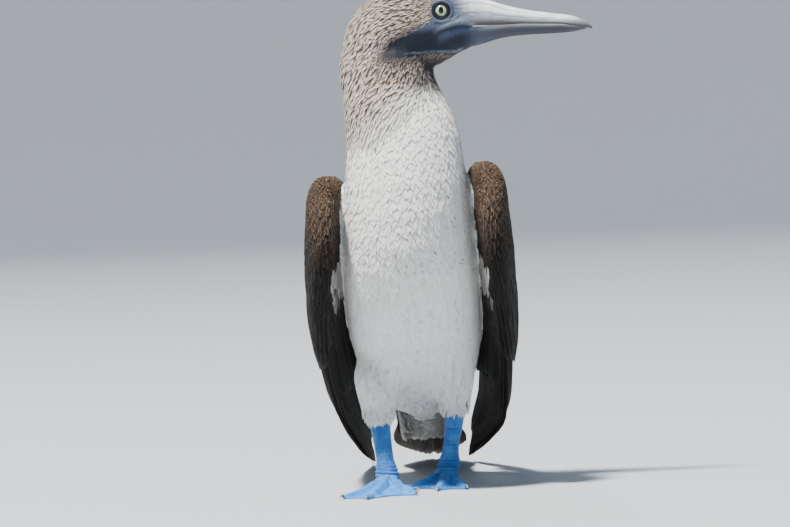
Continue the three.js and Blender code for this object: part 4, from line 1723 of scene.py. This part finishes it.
@dataclass
class Wing:
    """One folded wing: its arm, tiers of coverts, secondaries, tertials and primaries."""

    side: Side

    def surface(self, u: Array, v: Array, face: Array) -> Array:
        """Give points of the wing's own surface.

        Args:
            u: Share from wrist to tip.
            v: Place across, from the leading edge at -1 to the trailing edge at 1.
            face: 1 on the outer skin, 0 in the middle, -1 inside.

        Returns:
            Points on the left wing before it is posed.
        """
        step = 0.01
        row = WING.at(u)
        along = unit(WING.at(np.minimum(1, u + step))[..., :3] - WING.at(np.maximum(0, u - step))[..., :3])
        lean = np.radians(row[..., 5])
        up = np.stack([-np.sin(lean), 0.7 * np.cos(lean), 0.7 * np.cos(lean)], -1)
        up = square_to(up, along)
        out = facing(unit(np.cross(up, along)), 0)
        full = np.sqrt(np.maximum(0, 1 - np.abs(v) ** 2.4))
        across, thick = row[..., 3], row[..., 4]
        height = face * thick * full - WING_CAMBER * across * v * v
        return row[..., :3] + up * (across * v)[..., None] + out * height[..., None]

    def round(self, u: Array, turn: Array) -> Array:
        """Give points round the wing: turn 0 on the leading edge, above 0 outside, below it inside."""
        return self.surface(u, -np.cos(turn), np.where(turn >= 0, 1.0, -1.0))

    def outward(self, u: Array, turn: Array) -> Array:
        """Give the way out of the wing at shares and turns.

        Args:
            u: Share from wrist to tip.
            turn: Turn round the section.

        Returns:
            Unit vectors on the left wing before it is posed.
        """
        mid = np.clip(u, 0.02, 0.98)
        slope = self.round(mid + 0.01, turn) - self.round(mid - 0.01, turn)
        across = self.round(mid, turn + 0.12) - self.round(mid, turn - 0.12)
        normal = unit(np.cross(across, slope))
        heart = self.surface(mid, -0.6 * np.cos(turn), np.zeros_like(turn))
        away = ((self.round(mid, turn) - heart) * normal).sum(-1, keepdims=True)
        return normal * np.where(away < 0, -1, 1)

    def posed(self, points: Array) -> Array:
        """Mirror, drop and swing the left wing's points into this wing's place."""
        moved = np.array(points, float)
        drop = WRIST_DROP if self.side is Side.RIGHT else 0.0
        moved[..., 2] -= drop * np.clip((moved[..., 2] - 120) / 160, 0, 1)
        moved[..., 0] *= self.side.value
        moved[..., 0] -= (TIP_LEAN + self.side.value * TIP_CLOSE) * smooth(125, 290, moved[..., 1])
        return swung(moved)

    def shell(self) -> Array:
        """Give a grid of points on the arm's skin, in design millimetres."""
        u, turn = grid(np.linspace(0.01, ARM_END, 90), np.linspace(-math.pi, math.pi, 70))
        return self.posed(self.round(u, turn))

    def core(self) -> bpy.types.Object:
        """Make the arm's closed core, which the skin takes in."""
        share, turn = grid(np.linspace(0, 1, 30), ring_turns(36))
        u = share * ARM_END
        v = np.cos(turn)
        face = np.where(np.sin(turn) >= 0, 1.0, -1.0) * np.abs(np.sin(turn)) ** 0.3
        shut = np.sqrt(np.maximum(0, 1 - np.clip((share - 0.45) / 0.55, 0, 1) ** 2))[..., None]
        middle = self.surface(u, np.zeros_like(v), np.zeros_like(v))
        edge = self.surface(u, 0.999 * v, face)
        empty = (share == 0)[..., None]
        rings = np.where(empty, middle, middle + (edge - middle) * shut)
        return loft(f"wing_core_{self.side.word}", to_frame(self.posed(rings)))

    def feathers(
        self, word: str, plumes: Plumes, u: Array, turn: Array, low: Array, high: Array, drift: float = 0.0,
    ) -> bpy.types.Object:
        """Lay feathers round the wing.

        Args:
            word: The tier's name.
            plumes: The feathers.
            u: Root shares from wrist to tip.
            turn: Root turns round the section.
            low: Height over the wing just past the root.
            high: Height at the tip.
            drift: How far each turns round the section by its tip.

        Returns:
            One joined mesh.
        """
        share = np.linspace(0, 1, plumes.form.rows)[None, :]
        at = u[:, None] + share * plumes.length[:, None] / WING_LENGTH
        place = turn[:, None] + drift * share**1.2
        base = self.round(np.minimum(1, at), place)
        tail = unit(WING.at(np.array(1.0))[:3] - WING.at(np.array(0.95))[:3])
        base = base + tail * (np.maximum(0, at - 1) * WING_LENGTH)[..., None]
        out = self.outward(at, place)
        across = unit(np.cross(out, unit(np.gradient(base, axis=1))))
        sunk = ROOT_DEPTH * (1 - np.clip(share / 0.2, 0, 1))
        lift = (np.broadcast_to(low, u.shape)[:, None] - sunk) + (high - low)[:, None] * share
        chart = np.stack([0.02 + 0.96 * np.clip(u, 0, 1), 0.5 + 0.46 * turn / math.pi], -1)
        return plumes.grow(
            f"wing_{self.side.word}_{word}", SEED + len(word),
            self.posed(base), self.mirrored(across), self.mirrored(out), lift, chart,
        )

    def mirrored(self, vectors: Array) -> Array:
        """Turn the left wing's directions to this wing's side."""
        turned = np.array(vectors, float)
        turned[..., 0] *= self.side.value
        return turned

    def even_turns(self, u: float, apart: float, shift: float) -> Array:
        """Space turns evenly round the section, by distance along its skin.

        Args:
            u: Share from wrist to tip.
            apart: Distance between neighbours.
            shift: Offset of the first, as a share of the distance.

        Returns:
            Turns from inside round the leading edge to the trailing edge.
        """
        turns = np.linspace(-math.pi, math.pi, 240)
        run = self.round(np.full(240, u), turns)
        far = np.concatenate([[0], np.cumsum(np.linalg.norm(np.diff(run, axis=0), axis=1))])
        return np.interp(np.arange(apart * shift, far[-1], apart), far, turns)

    def coverts(self) -> bpy.types.Object:
        """Lay small and median coverts round the arm, from the wrist back, larger row by row, with painted
        shade darkening them down the wing and painted light on the tips near the leading edge.
        """
        draw = np.random.default_rng(SEED + 70 + self.side.value)
        u_rows, turn_rows, size_rows = [], [], []
        u, row = 0.003, 0
        while u < 0.42:
            size = 11.0 + 17.0 * float(smooth(0.02, 0.42, u)) ** 1.1
            turns = self.even_turns(max(u, 0.012), size * 0.34, 0.5 * (row % 2))
            u_rows.append(u + draw.normal(0, 0.003, len(turns)))
            turn_rows.append(turns)
            size_rows.append(np.full(len(turns), size))
            u += 0.25 * size / WING_LENGTH
            row += 1
        place = np.clip(np.concatenate(u_rows), 0.0, 1.0)
        turn = np.concatenate(turn_rows)
        size = np.concatenate(size_rows) * draw.uniform(0.88, 1.15, len(turn))
        # Painted shade: the coverts darken from the wrist down the wing. Painted light: their tips lighten
        # near the leading edge.
        painted_shade_down_wing = smooth(0.03, 0.26, place)
        painted_light_at_leading_edge = smooth(1.5, 0.3, np.abs(turn))
        tips = blend(blend(INK.tan, INK.covert_tip, painted_shade_down_wing), INK.tan, 0.3 * painted_light_at_leading_edge * (1 - painted_shade_down_wing))
        bases = blend(INK.brown, INK.brown_dark, np.clip(0.25 + 0.75 * painted_shade_down_wing, 0, 1))
        plumes = Plumes(SMALL_COVERT, size, size * 0.56, tips, bases, COVERT)
        return self.feathers("coverts", plumes, place, turn, 0.4, 1.1 + 0.02 * size)

    def tier(self, tier: "WingTier") -> bpy.types.Object:
        """Lay one even tier of long feathers.

        Args:
            tier: The tier's sizes.

        Returns:
            The tier's mesh.
        """
        draw = np.random.default_rng(SEED + 200 + len(tier.word) + self.side.value)
        share = np.linspace(0, 1, tier.count)
        length = tier.run(tier.length) * (1 + 0.03 * draw.standard_normal(tier.count))
        tips = np.tile(np.array(tier.tip), (tier.count, 1)) * draw.uniform(0.8, 1.2, (tier.count, 1))
        bases = np.tile(np.array(tier.base), (tier.count, 1))
        high = tier.low + 1.2 + tier.step * share
        low = tier.low + tier.step * share
        plumes = Plumes(LONG, length, np.full(tier.count, tier.width), tips, bases, FLIGHT)
        root, turn = tier.run(tier.root), tier.run(tier.turn)
        return self.feathers(tier.word, plumes, root, turn, low, high, tier.drift)

    def lining(self) -> bpy.types.Object:
        """Lay the pale feathers that show at the wing's inner front edge."""
        draw = np.random.default_rng(SEED + 300 + self.side.value)
        count = 58
        u = draw.uniform(0.28, 0.36, count)
        turn = -draw.uniform(0.62, 1.7, count)
        length = draw.uniform(13, 24, count)
        pale = smooth(0.36, 0.325, u) * draw.uniform(0.6, 1.0, count)
        tips = blend(INK.covert_tip, tint(214, 208, 200), pale)
        bases = blend(INK.brown_dark, tint(206, 202, 196), pale)
        plumes = Plumes(LINING, length, 0.3 * length, tips, bases, COVERT)
        return self.feathers("lining", plumes, u, turn, 1.0, draw.uniform(1.8, 2.8, count))

    def build(self) -> list[bpy.types.Object]:
        """Make all of the wing's feathers."""
        return [self.coverts(), self.lining(), *[self.tier(tier) for tier in WING_TIERS]]


COVERT = VaneFinish("look_covert")
FLIGHT = VaneFinish("look_flight")


@dataclass(frozen=True)
class WingTier:
    """One tier of long feathers: numbers for its first and last feather, and those that all share."""

    word: str
    count: int
    root: tuple[float, float]
    turn: tuple[float, float]
    length: tuple[float, float]
    width: float
    low: float
    step: float = 0.0
    drift: float = 0.0
    tip: tuple = tint(60, 51, 45)
    base: tuple = tint(20, 18, 18)

    def run(self, ends: tuple[float, float]) -> Array:
        """Spread a number evenly from the first feather to the last."""
        return ends[0] + (ends[1] - ends[0]) * np.linspace(0, 1, self.count)


HAND = (INK.covert_tip, INK.flight)
WING_TIERS = (
    WingTier("greater_coverts", 17, (0.35, 0.36), (0.35, 2.75), (54, 60), 14.0, 1.9),
    WingTier("secondaries", 13, (0.45, 0.45), (0.9, 2.7), (96, 118), 17.0, 1.0, 0.8),
    WingTier("tertials", 6, (0.3, 0.33), (2.05, 2.85), (128, 140), 19.0, 2.4, 0.3, -0.05),
    WingTier("primary_coverts", 9, (0.33, 0.35), (-0.15, 0.9), (66, 84), 12.0, 1.6, 0.5, 0.1, *HAND),
    WingTier("primaries", 11, (0.42, 0.42), (-0.1, 1.15), (252, 186), 15.0, 0.3, 0.5, 0.3, *HAND),
    WingTier("inner_primaries", 9, (0.40, 0.42), (-0.3, -1.3), (246, 190), 15.0, 0.3, 0.4, -0.1, *HAND),
    WingTier(
        "underwing", 11, (0.36, 0.38), (-0.75, -2.7), (110, 110), 18.0, 1.2, 0.0, 0.0,
        tint(50, 47, 46), tint(24, 23, 23),
    ),
)


# Tail


@dataclass
class Tail:
    """The wedge tail: graduated feathers over a short fleshy root."""

    feathers: int = 7

    def surface(self, share: Array, side: Array, height: Array) -> Array:
        """Give points of the tail's fan.

        Args:
            share: Share along the middle line.
            side: Millimetres off it.
            height: Millimetres above it.

        Returns:
            Design points.
        """
        row = TAIL.at(share)
        rise = 0.92 * height - 0.0045 * side * side * (1 - share)
        return swung(np.stack([side, row[..., 1] + 0.3 * height, row[..., 2] + rise], -1))

    def core(self) -> bpy.types.Object:
        """Make the closed root that the skin takes in."""
        share, turn = grid(np.linspace(0, 1, 20), ring_turns(24))
        near = 0.08
        closing = np.sqrt(np.maximum(0, 1 - ((share - near) / (1 - near)) ** 3))
        full = np.where(share < near, np.sqrt(share / near), closing)
        width = (24 + 2 * share) * full
        thick = (14.5 - 12 * share**0.7) * full
        rings = self.surface(share * TAIL_ROOT, width * np.cos(turn), thick * np.sin(turn) - 2)
        return loft("tail_core", to_frame(rings))

    def fan(self) -> bpy.types.Object:
        """Lay the long tail feathers, the middle pair longest and on top."""
        step = np.repeat(np.arange(self.feathers), 2)
        sign = np.tile([1.0, -1.0], self.feathers)
        part = step / self.feathers
        root = np.full(len(step), 0.22)
        tip = 1 - 0.3 * part**1.3
        share = np.linspace(0, 1, STEERING.rows)[None, :]
        at = root[:, None] + (tip - root)[:, None] * share
        start = sign * (2 + 15 * part)
        finish = sign * (4 + 28 * part)
        off = start[:, None] + (finish - start)[:, None] * share
        level = (1.3 - 0.62 * step)[:, None] * share + 0.4 - 1.2 * (1 - share)
        level = np.maximum(level, 0.9 - TAIL.at(at)[..., 2])
        centres = self.surface(at, off, level)
        way = unit(np.gradient(centres, axis=1))
        normals = facing(unit(np.cross(np.broadcast_to([1.0, 0, 0], way.shape), way)), 2)
        across = unit(np.cross(normals, way))
        length = (tip - root) * TAIL_LENGTH
        pale = smooth(0.25, 0.0, part)
        tips = blend(tint(92, 78, 66), tint(150, 138, 124), pale)
        bases = blend(tint(52, 44, 38), tint(118, 106, 94), pale)
        chart = np.stack([0.5 + 0.06 * sign * (step + 0.5), 0.4 + 0.02 * step], -1)
        plumes = Plumes(STEERING, length, np.full(len(step), 19.0), tips, bases, FLIGHT)
        return plumes.grow("tail_feathers", SEED + 500, centres, across, normals, 0 * at, chart)

    def coverts(self) -> bpy.types.Object:
        """Lay the shorter feathers over the tail's root, above and below."""
        draw = np.random.default_rng(SEED + 520)
        ranks, abreast = 20, 17
        count = ranks * abreast
        rank = np.repeat(np.arange(ranks), abreast)
        above = rank % 2 == 0
        at = 0.42 * rank / ranks + draw.uniform(-0.01, 0.01, count)
        turn = (np.tile(np.arange(abreast), ranks) + 0.5 * (rank // 2 % 2)) * 2 / abreast - 1
        turn = turn * np.where(above, 1.0, 0.8)
        share = np.linspace(0, 1, TAIL_COVERT.rows)[None, :]
        length = draw.uniform(30, 40, count)
        along = at[:, None] + share * length[:, None] / TAIL_LENGTH
        width = 24 + 2 * along / TAIL_ROOT
        side = np.sin(turn * math.pi / 2)[:, None] * width
        thick = np.maximum(1.0, 14.5 - 12 * np.clip(along / TAIL_ROOT, 0, 1) ** 0.7)
        round_off = np.sqrt(np.maximum(0.02, 1 - np.sin(turn * math.pi / 2)[:, None] ** 2))
        sign = np.where(above, 1.0, -1.0)[:, None]
        height = sign * (thick * round_off + 0.6 + 2.0 * share) - 2
        centres = self.surface(along, side, height)
        way = unit(np.gradient(centres, axis=1))
        normals = square_to(unit(stacked(0.6 * side / width, 0 * width, sign * round_off)), way)
        across = unit(np.cross(normals, way))
        tips = blend(tint(226, 224, 220), tint(120, 104, 90), smooth(0.1, 0.4, at) * above)
        bases = blend(tint(188, 184, 180), tint(66, 56, 48), smooth(0.05, 0.3, at) * above)
        chart = np.stack([0.5 + 0.22 * turn + np.where(above, 0, 0.26) - 0.13, 0.05 + 2.0 * at], -1)
        plumes = Plumes(TAIL_COVERT, length, 0.36 * length, tips, bases, MANTLE)
        return plumes.grow("tail_coverts", SEED + 530, centres, across, normals, 0 * along, chart)


# Bill, eyes, legs and claws


@dataclass
class Bill:
    """The long conical bill with its ridge, side groove, cutting edges and drooped tip."""

    rings: int = 80
    outer: int = 40
    inner: int = 10
    start: float = 48.0

    def mandible(self, name: str, upper: bool) -> bpy.types.Object:
        """Loft one mandible from the head's own run, from inside the face to the tip.

        Args:
            name: The piece's name.
            upper: True for the upper mandible, False for the lower.

        Returns:
            The mandible, closed, coloured and dressed.
        """
        end = BILL_TIP_X if upper else 158.5
        share = np.linspace(0, 1, self.rings)
        x = self.start + (end - self.start) * (1 - (1 - share) ** 1.25)
        row = head_at(x)
        axis, up, down, half = row[:, 1], row[:, 2], row[:, 3], row[:, 4]
        mouth = np.interp(x, MOUTH[:, 0], MOUTH[:, 1]) + (0.12 if upper else -0.12)
        reach = np.where(mouth > axis, up, down)
        first = np.arcsin(np.clip((mouth - axis) / np.maximum(reach, 0.01), -0.98, 0.98))
        turn = np.linspace(0, 1, self.outer)
        if upper:
            angle = first[:, None] + (math.pi - 2 * first[:, None]) * turn
        else:
            angle = math.pi - first[:, None] + (math.pi + 2 * first[:, None]) * turn
        size = np.interp(x, [self.start, 60, 66], [0.93, 0.97, 1.0])[:, None]
        sine, cosine = np.sin(angle), np.cos(angle)
        tall = np.where(sine > 0, up[:, None], down[:, None])
        rise = np.abs(sine)
        fade = smooth(60, 76, x)[:, None] * smooth(160, 140, x)[:, None]
        groove = 1 - 0.07 * np.exp(-(((rise - 0.66) / 0.1) ** 2)) * fade
        lip = 1 + 0.05 * np.exp(-((rise / 0.22) ** 2)) * fade
        y = half[:, None] * cosine * size * groove * lip * (1 - 0.1 * rise**3 * fade)
        z = axis[:, None] + tall * sine * size
        if not upper:
            z = z - 0.10 * down[:, None] * fade * np.exp(-((cosine / 0.3) ** 2))
        back = np.linspace(1, 0, self.inner + 2)[1:-1]
        close_y = y[:, -1:] + (y[:, :1] - y[:, -1:]) * (1 - back)
        vault = 4 * back * (1 - back) * (0.25 if upper else -0.35) * np.minimum(half[:, None], 4)
        close_z = mouth[:, None] + vault
        y, z = np.concatenate([y, close_y], 1), np.concatenate([z, close_z], 1)
        rings = stacked(x[:, None], HEAD_Y + y, z)
        rings[0] = rings[0].mean(0)
        rings[-1] = [end, HEAD_Y, 387.6 if upper else 387.2]
        piece = loft(name, to_frame(rings))
        paint(piece, "horn_colour", MARKINGS.front(to_design(mesh_points(piece))))
        BillFinish().dress(piece)
        return piece


@dataclass
class Eye:
    """One eyeball."""

    side: Side

    def build(self) -> bpy.types.Object:
        """Make the eyeball, with its own coordinates for the iris.

        Returns:
            The eyeball.
        """
        centre = np.array([EYE_X, HEAD_Y + self.side.value * (CHEEK - EYE_RADIUS), EYE_Z])
        deselect_all()
        bpy.ops.mesh.primitive_uv_sphere_add(segments=64, ring_count=40, radius=EYE_RADIUS * MM)
        ball = bpy.context.object
        ball.name = ball.data.name = f"eyeball_{self.side.word}"
        bpy.ops.object.shade_smooth()
        own = mesh_points(ball) / MM
        turned = np.stack([own[:, 0], self.side.value * own[:, 2], own[:, 1]], -1)
        if self.side is Side.LEFT:
            turned[:, 0] *= -1
        bulge = 0.5 * smooth(EYE_OPENING, 2.0, np.hypot(turned[:, 0], turned[:, 2]))
        turned[:, 1] += self.side.value * bulge * (turned[:, 1] * self.side.value > 0)
        set_points(ball, to_frame(turned + centre))
        store(ball, "eye_mm", np.stack([turned[:, 0], turned[:, 2], turned[:, 1]], -1))
        EyeFinish().dress(ball)
        return ball


Place = tuple[float, float, float]
# The toe joint and the ankle of each leg.
LEGS = {
    Side.RIGHT: ((-26.0, -20.0, 11.0), (-31.0, 8.0, 57.0)),
    Side.LEFT: ((26.0, 38.0, 11.0), (34.0, 44.0, 60.0)),
}


@dataclass
class Leg:
    """One bare leg with its webbed foot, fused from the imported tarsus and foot."""

    side: Side
    joint: Place
    ankle: Place

    def knee(self) -> bpy.types.Object:
        """Make the round upper end of the leg, which the thigh's feathers hide."""
        high = to_design(np.array(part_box(f"tarsus_{self.side.word}")[1]))
        z = np.linspace(high[2] - 16, high[2] + 20, 12)[:, None]
        turn = ring_turns(24)
        share = (z - self.joint[2]) / (self.ankle[2] - self.joint[2])
        x, y = (self.joint[k] + (self.ankle[k] - self.joint[k]) * share for k in range(2))
        radius = 7.0 * np.sqrt(np.clip(1 - np.linspace(-1, 1, 12)[:, None] ** 6, 0, 1))
        rings = stacked(x + radius * np.cos(turn), y + radius * np.sin(turn), z)
        return loft(f"knee_{self.side.word}", to_frame(rings))

    def build(self) -> bpy.types.Object:
        """Fuse tarsus and foot, then raise folds at the toe joint and scutes down the front.

        Returns:
            The leg's skin.
        """
        nodes = (f"tarsus_{self.side.word}", f"foot_{self.side.word}")
        piece = copies_joined(f"leg_{self.side.word}_skin", nodes, 0.45 * MM)
        piece = joined(piece.name, [piece, self.knee()])
        remesh(piece, 0.8, 3)
        points = to_design(mesh_points(piece))
        normals = mesh_normals(piece)
        x, y, z = points.T
        jx, jy, jz = self.joint
        shaft = smooth(14, 11, np.hypot(x - jx, y - jy)) * smooth(6, 11, z)
        folds = np.sin(z * 2 * math.pi / 3.1 + 0.25 * (x - jx)) * smooth(27, 17, z)
        scutes = np.abs(np.sin(z * math.pi / 3.4)) ** 0.35 - 0.8
        front = smooth(2, -5, y - np.interp(z, [jz, 60], [jy, jy + 20]))
        flare = 1.7 * smooth(30, 14, z) - 0.7 * smooth(22, 40, z)
        lift = shaft * (flare + 0.65 * folds + 0.35 * scutes * front * smooth(20, 28, z))
        points = points + normals * (lift - 0.35)[:, None]
        points[:, 2] = np.maximum(points[:, 2], 0.0)
        set_points(piece, to_frame(points))
        web = smooth(10, 5, points[:, 2])
        # Darker in the gaps between the front scutes, and painted shade in the folds' troughs.
        groove = shaft * np.clip(front * smooth(-0.1, -0.5, scutes) + 0.7 * smooth(-0.3, -0.9, folds), 0, 1)
        store(piece, "leg", np.stack([web, groove, web], -1))
        LegFinish().dress(piece)
        return piece


@dataclass
class Claw:
    """One curved claw at a toe's end."""

    side: Side
    toe: int

    def build(self) -> bpy.types.Object:
        """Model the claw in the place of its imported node.

        Returns:
            The claw.
        """
        node = f"claw_{self.side.word}_{self.toe}"
        piece = copies_joined(f"{node}_horn", (node,), 0.0)
        remesh(piece, 0.3, 4)
        points = mesh_points(piece)
        foot = np.array(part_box(f"foot_{self.side.word}")).mean(0)
        far = np.hypot(*(points[:, :2] - foot[:2]).T)
        along = (far - far.min()) / (far.max() - far.min())
        store(piece, "claw", np.stack([along, along, along], -1))
        ClawFinish().dress(piece)
        return piece


# Studio


@dataclass
class Studio:
    """The camera at the photograph's angle, a plain pale floor and soft lights."""

    view_width: float = 671.0
    distance: float = 3600.0
    aim: tuple[float, float, float] = (-12.0, -20.0, 194.0)
    eye_height: float = 300.0
    roll: float = 2.5

    def camera(self) -> None:
        """Set the camera."""
        data = bpy.data.cameras.new("camera")
        data.sensor_width = 36.0
        data.lens = data.sensor_width * self.distance / self.view_width
        data.clip_end = 100.0
        camera = linked("camera", data)
        stand = to_frame(np.array([self.aim[0], self.aim[1] - self.distance, self.eye_height]))
        aim = Vector(to_frame(np.array(self.aim)))
        camera.location = stand
        heading = (aim - camera.location).to_track_quat("-Z", "Y")
        camera.rotation_euler = heading.to_euler()
        camera.rotation_euler.rotate_axis("Z", math.radians(-self.roll))
        bpy.context.scene.camera = camera

    def floor(self) -> bpy.types.Object:
        """Lay a round floor whose far rim curves up into a plain wall on every side."""
        flat, bend, top = 9.0, 4.0, 9.0
        curve = np.linspace(0, math.pi / 2, 14)
        out = np.concatenate([[0, 2, 5], flat + bend * np.sin(curve), [flat + bend]])
        up = np.concatenate([[0, 0, 0], bend * (1 - np.cos(curve)), [top]])
        turn = ring_turns(96)
        rings = stacked(out[:, None] * np.cos(turn), out[:, None] * np.sin(turn), up[:, None])
        floor = mesh_object("floor", rings.reshape(-1, 3), loft_faces(*rings.shape[:2]))
        merge_doubles(floor)
        FloorFinish().dress(floor)
        return floor

    def lamp(self, name: str, place: Place, size: float, power: float, colour: Place) -> None:
        """Hang one square soft light that looks at the bird.

        Args:
            name: The light's name.
            place: Metres from the bird's middle.
            size: Its side in metres.
            power: Watts.
            colour: Its light.
        """
        data = bpy.data.lights.new(name, "AREA")
        data.size = size
        data.energy = power
        data.color = colour
        lamp = linked(name, data)
        lamp.location = place
        lamp.visible_camera = False
        lamp.rotation_euler = (Vector((0, 0, 0.25)) - lamp.location).to_track_quat("-Z", "Y").to_euler()

    def build(self) -> None:
        """Set the floor, camera and lights."""
        self.camera()
        self.floor()
        self.lamp("key", (-2.6, -2.7, 8.7), 1.0, 3100.0, (1.0, 0.96, 0.90))
        self.lamp("fill", (6.6, -5.4, 3.0), 6.0, 45.0, (0.55, 0.78, 1.0))
        self.lamp("rim", (-2.4, 6.6, 5.4), 3.6, 200.0, (0.86, 0.93, 1.0))
        world = bpy.data.worlds.new("studio")
        world.use_nodes = True
        sky = world.node_tree.nodes["Background"]
        sky.inputs["Color"].default_value = (*tint(146, 190, 238), 1.0)
        sky.inputs["Strength"].default_value = 0.26
        bpy.context.scene.world = world


def settle(piece: bpy.types.Object, slot: str, *nodes: str) -> None:
    """Ride a piece on the bird's body and hide the CAD nodes that it stands for.

    Args:
        piece: The finished piece.
        slot: A material slot's name; not used.
        *nodes: CAD nodes that it replaces.
    """
    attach(piece, "root")
    if nodes:
        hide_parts(*nodes)
    LOG.info("%s: %d faces", piece.name, len(piece.data.polygons))


def main() -> None:
    """Build the bird piece by piece, then the studio round it."""
    logging.basicConfig(level=logging.INFO, format="%(message)s")
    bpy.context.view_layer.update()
    wings = [Wing(Side.LEFT), Wing(Side.RIGHT)]
    tail = Tail()
    MARKINGS.learn([wing.shell() for wing in wings], body_shell())
    skin = Skin()
    settle(skin.build([*[wing.core() for wing in wings], tail.core()]), "white_plumage", *FLESH)
    coat = Coat(skin)
    for zone, piece in zip(coat.zones, coat.build()):
        settle(piece, zone.slot)
    for wing in wings:
        for number, piece in enumerate(wing.build()):
            settle(piece, "brown_plumage", *([f"wing_{wing.side.word}"] if number == 0 else []))
    settle(tail.fan(), "brown_plumage", "tail")
    settle(tail.coverts(), "brown_plumage")
    bill = Bill()
    settle(bill.mandible("upper_mandible", True), "bill_horn", "bill_upper")
    settle(bill.mandible("lower_mandible", False), "bill_horn", "bill_lower")
    for side in Side:
        settle(Eye(side).build(), "eye", f"eye_{side.word}")
    for side in Side:
        nodes = (f"tarsus_{side.word}", f"foot_{side.word}")
        settle(Leg(side, *LEGS[side]).build(), "blue_skin", *nodes)
        for toe in range(1, 5):
            settle(Claw(side, toe).build(), "claw_horn", f"claw_{side.word}_{toe}")
    Studio().build()


if __name__ == "__main__":
    main()
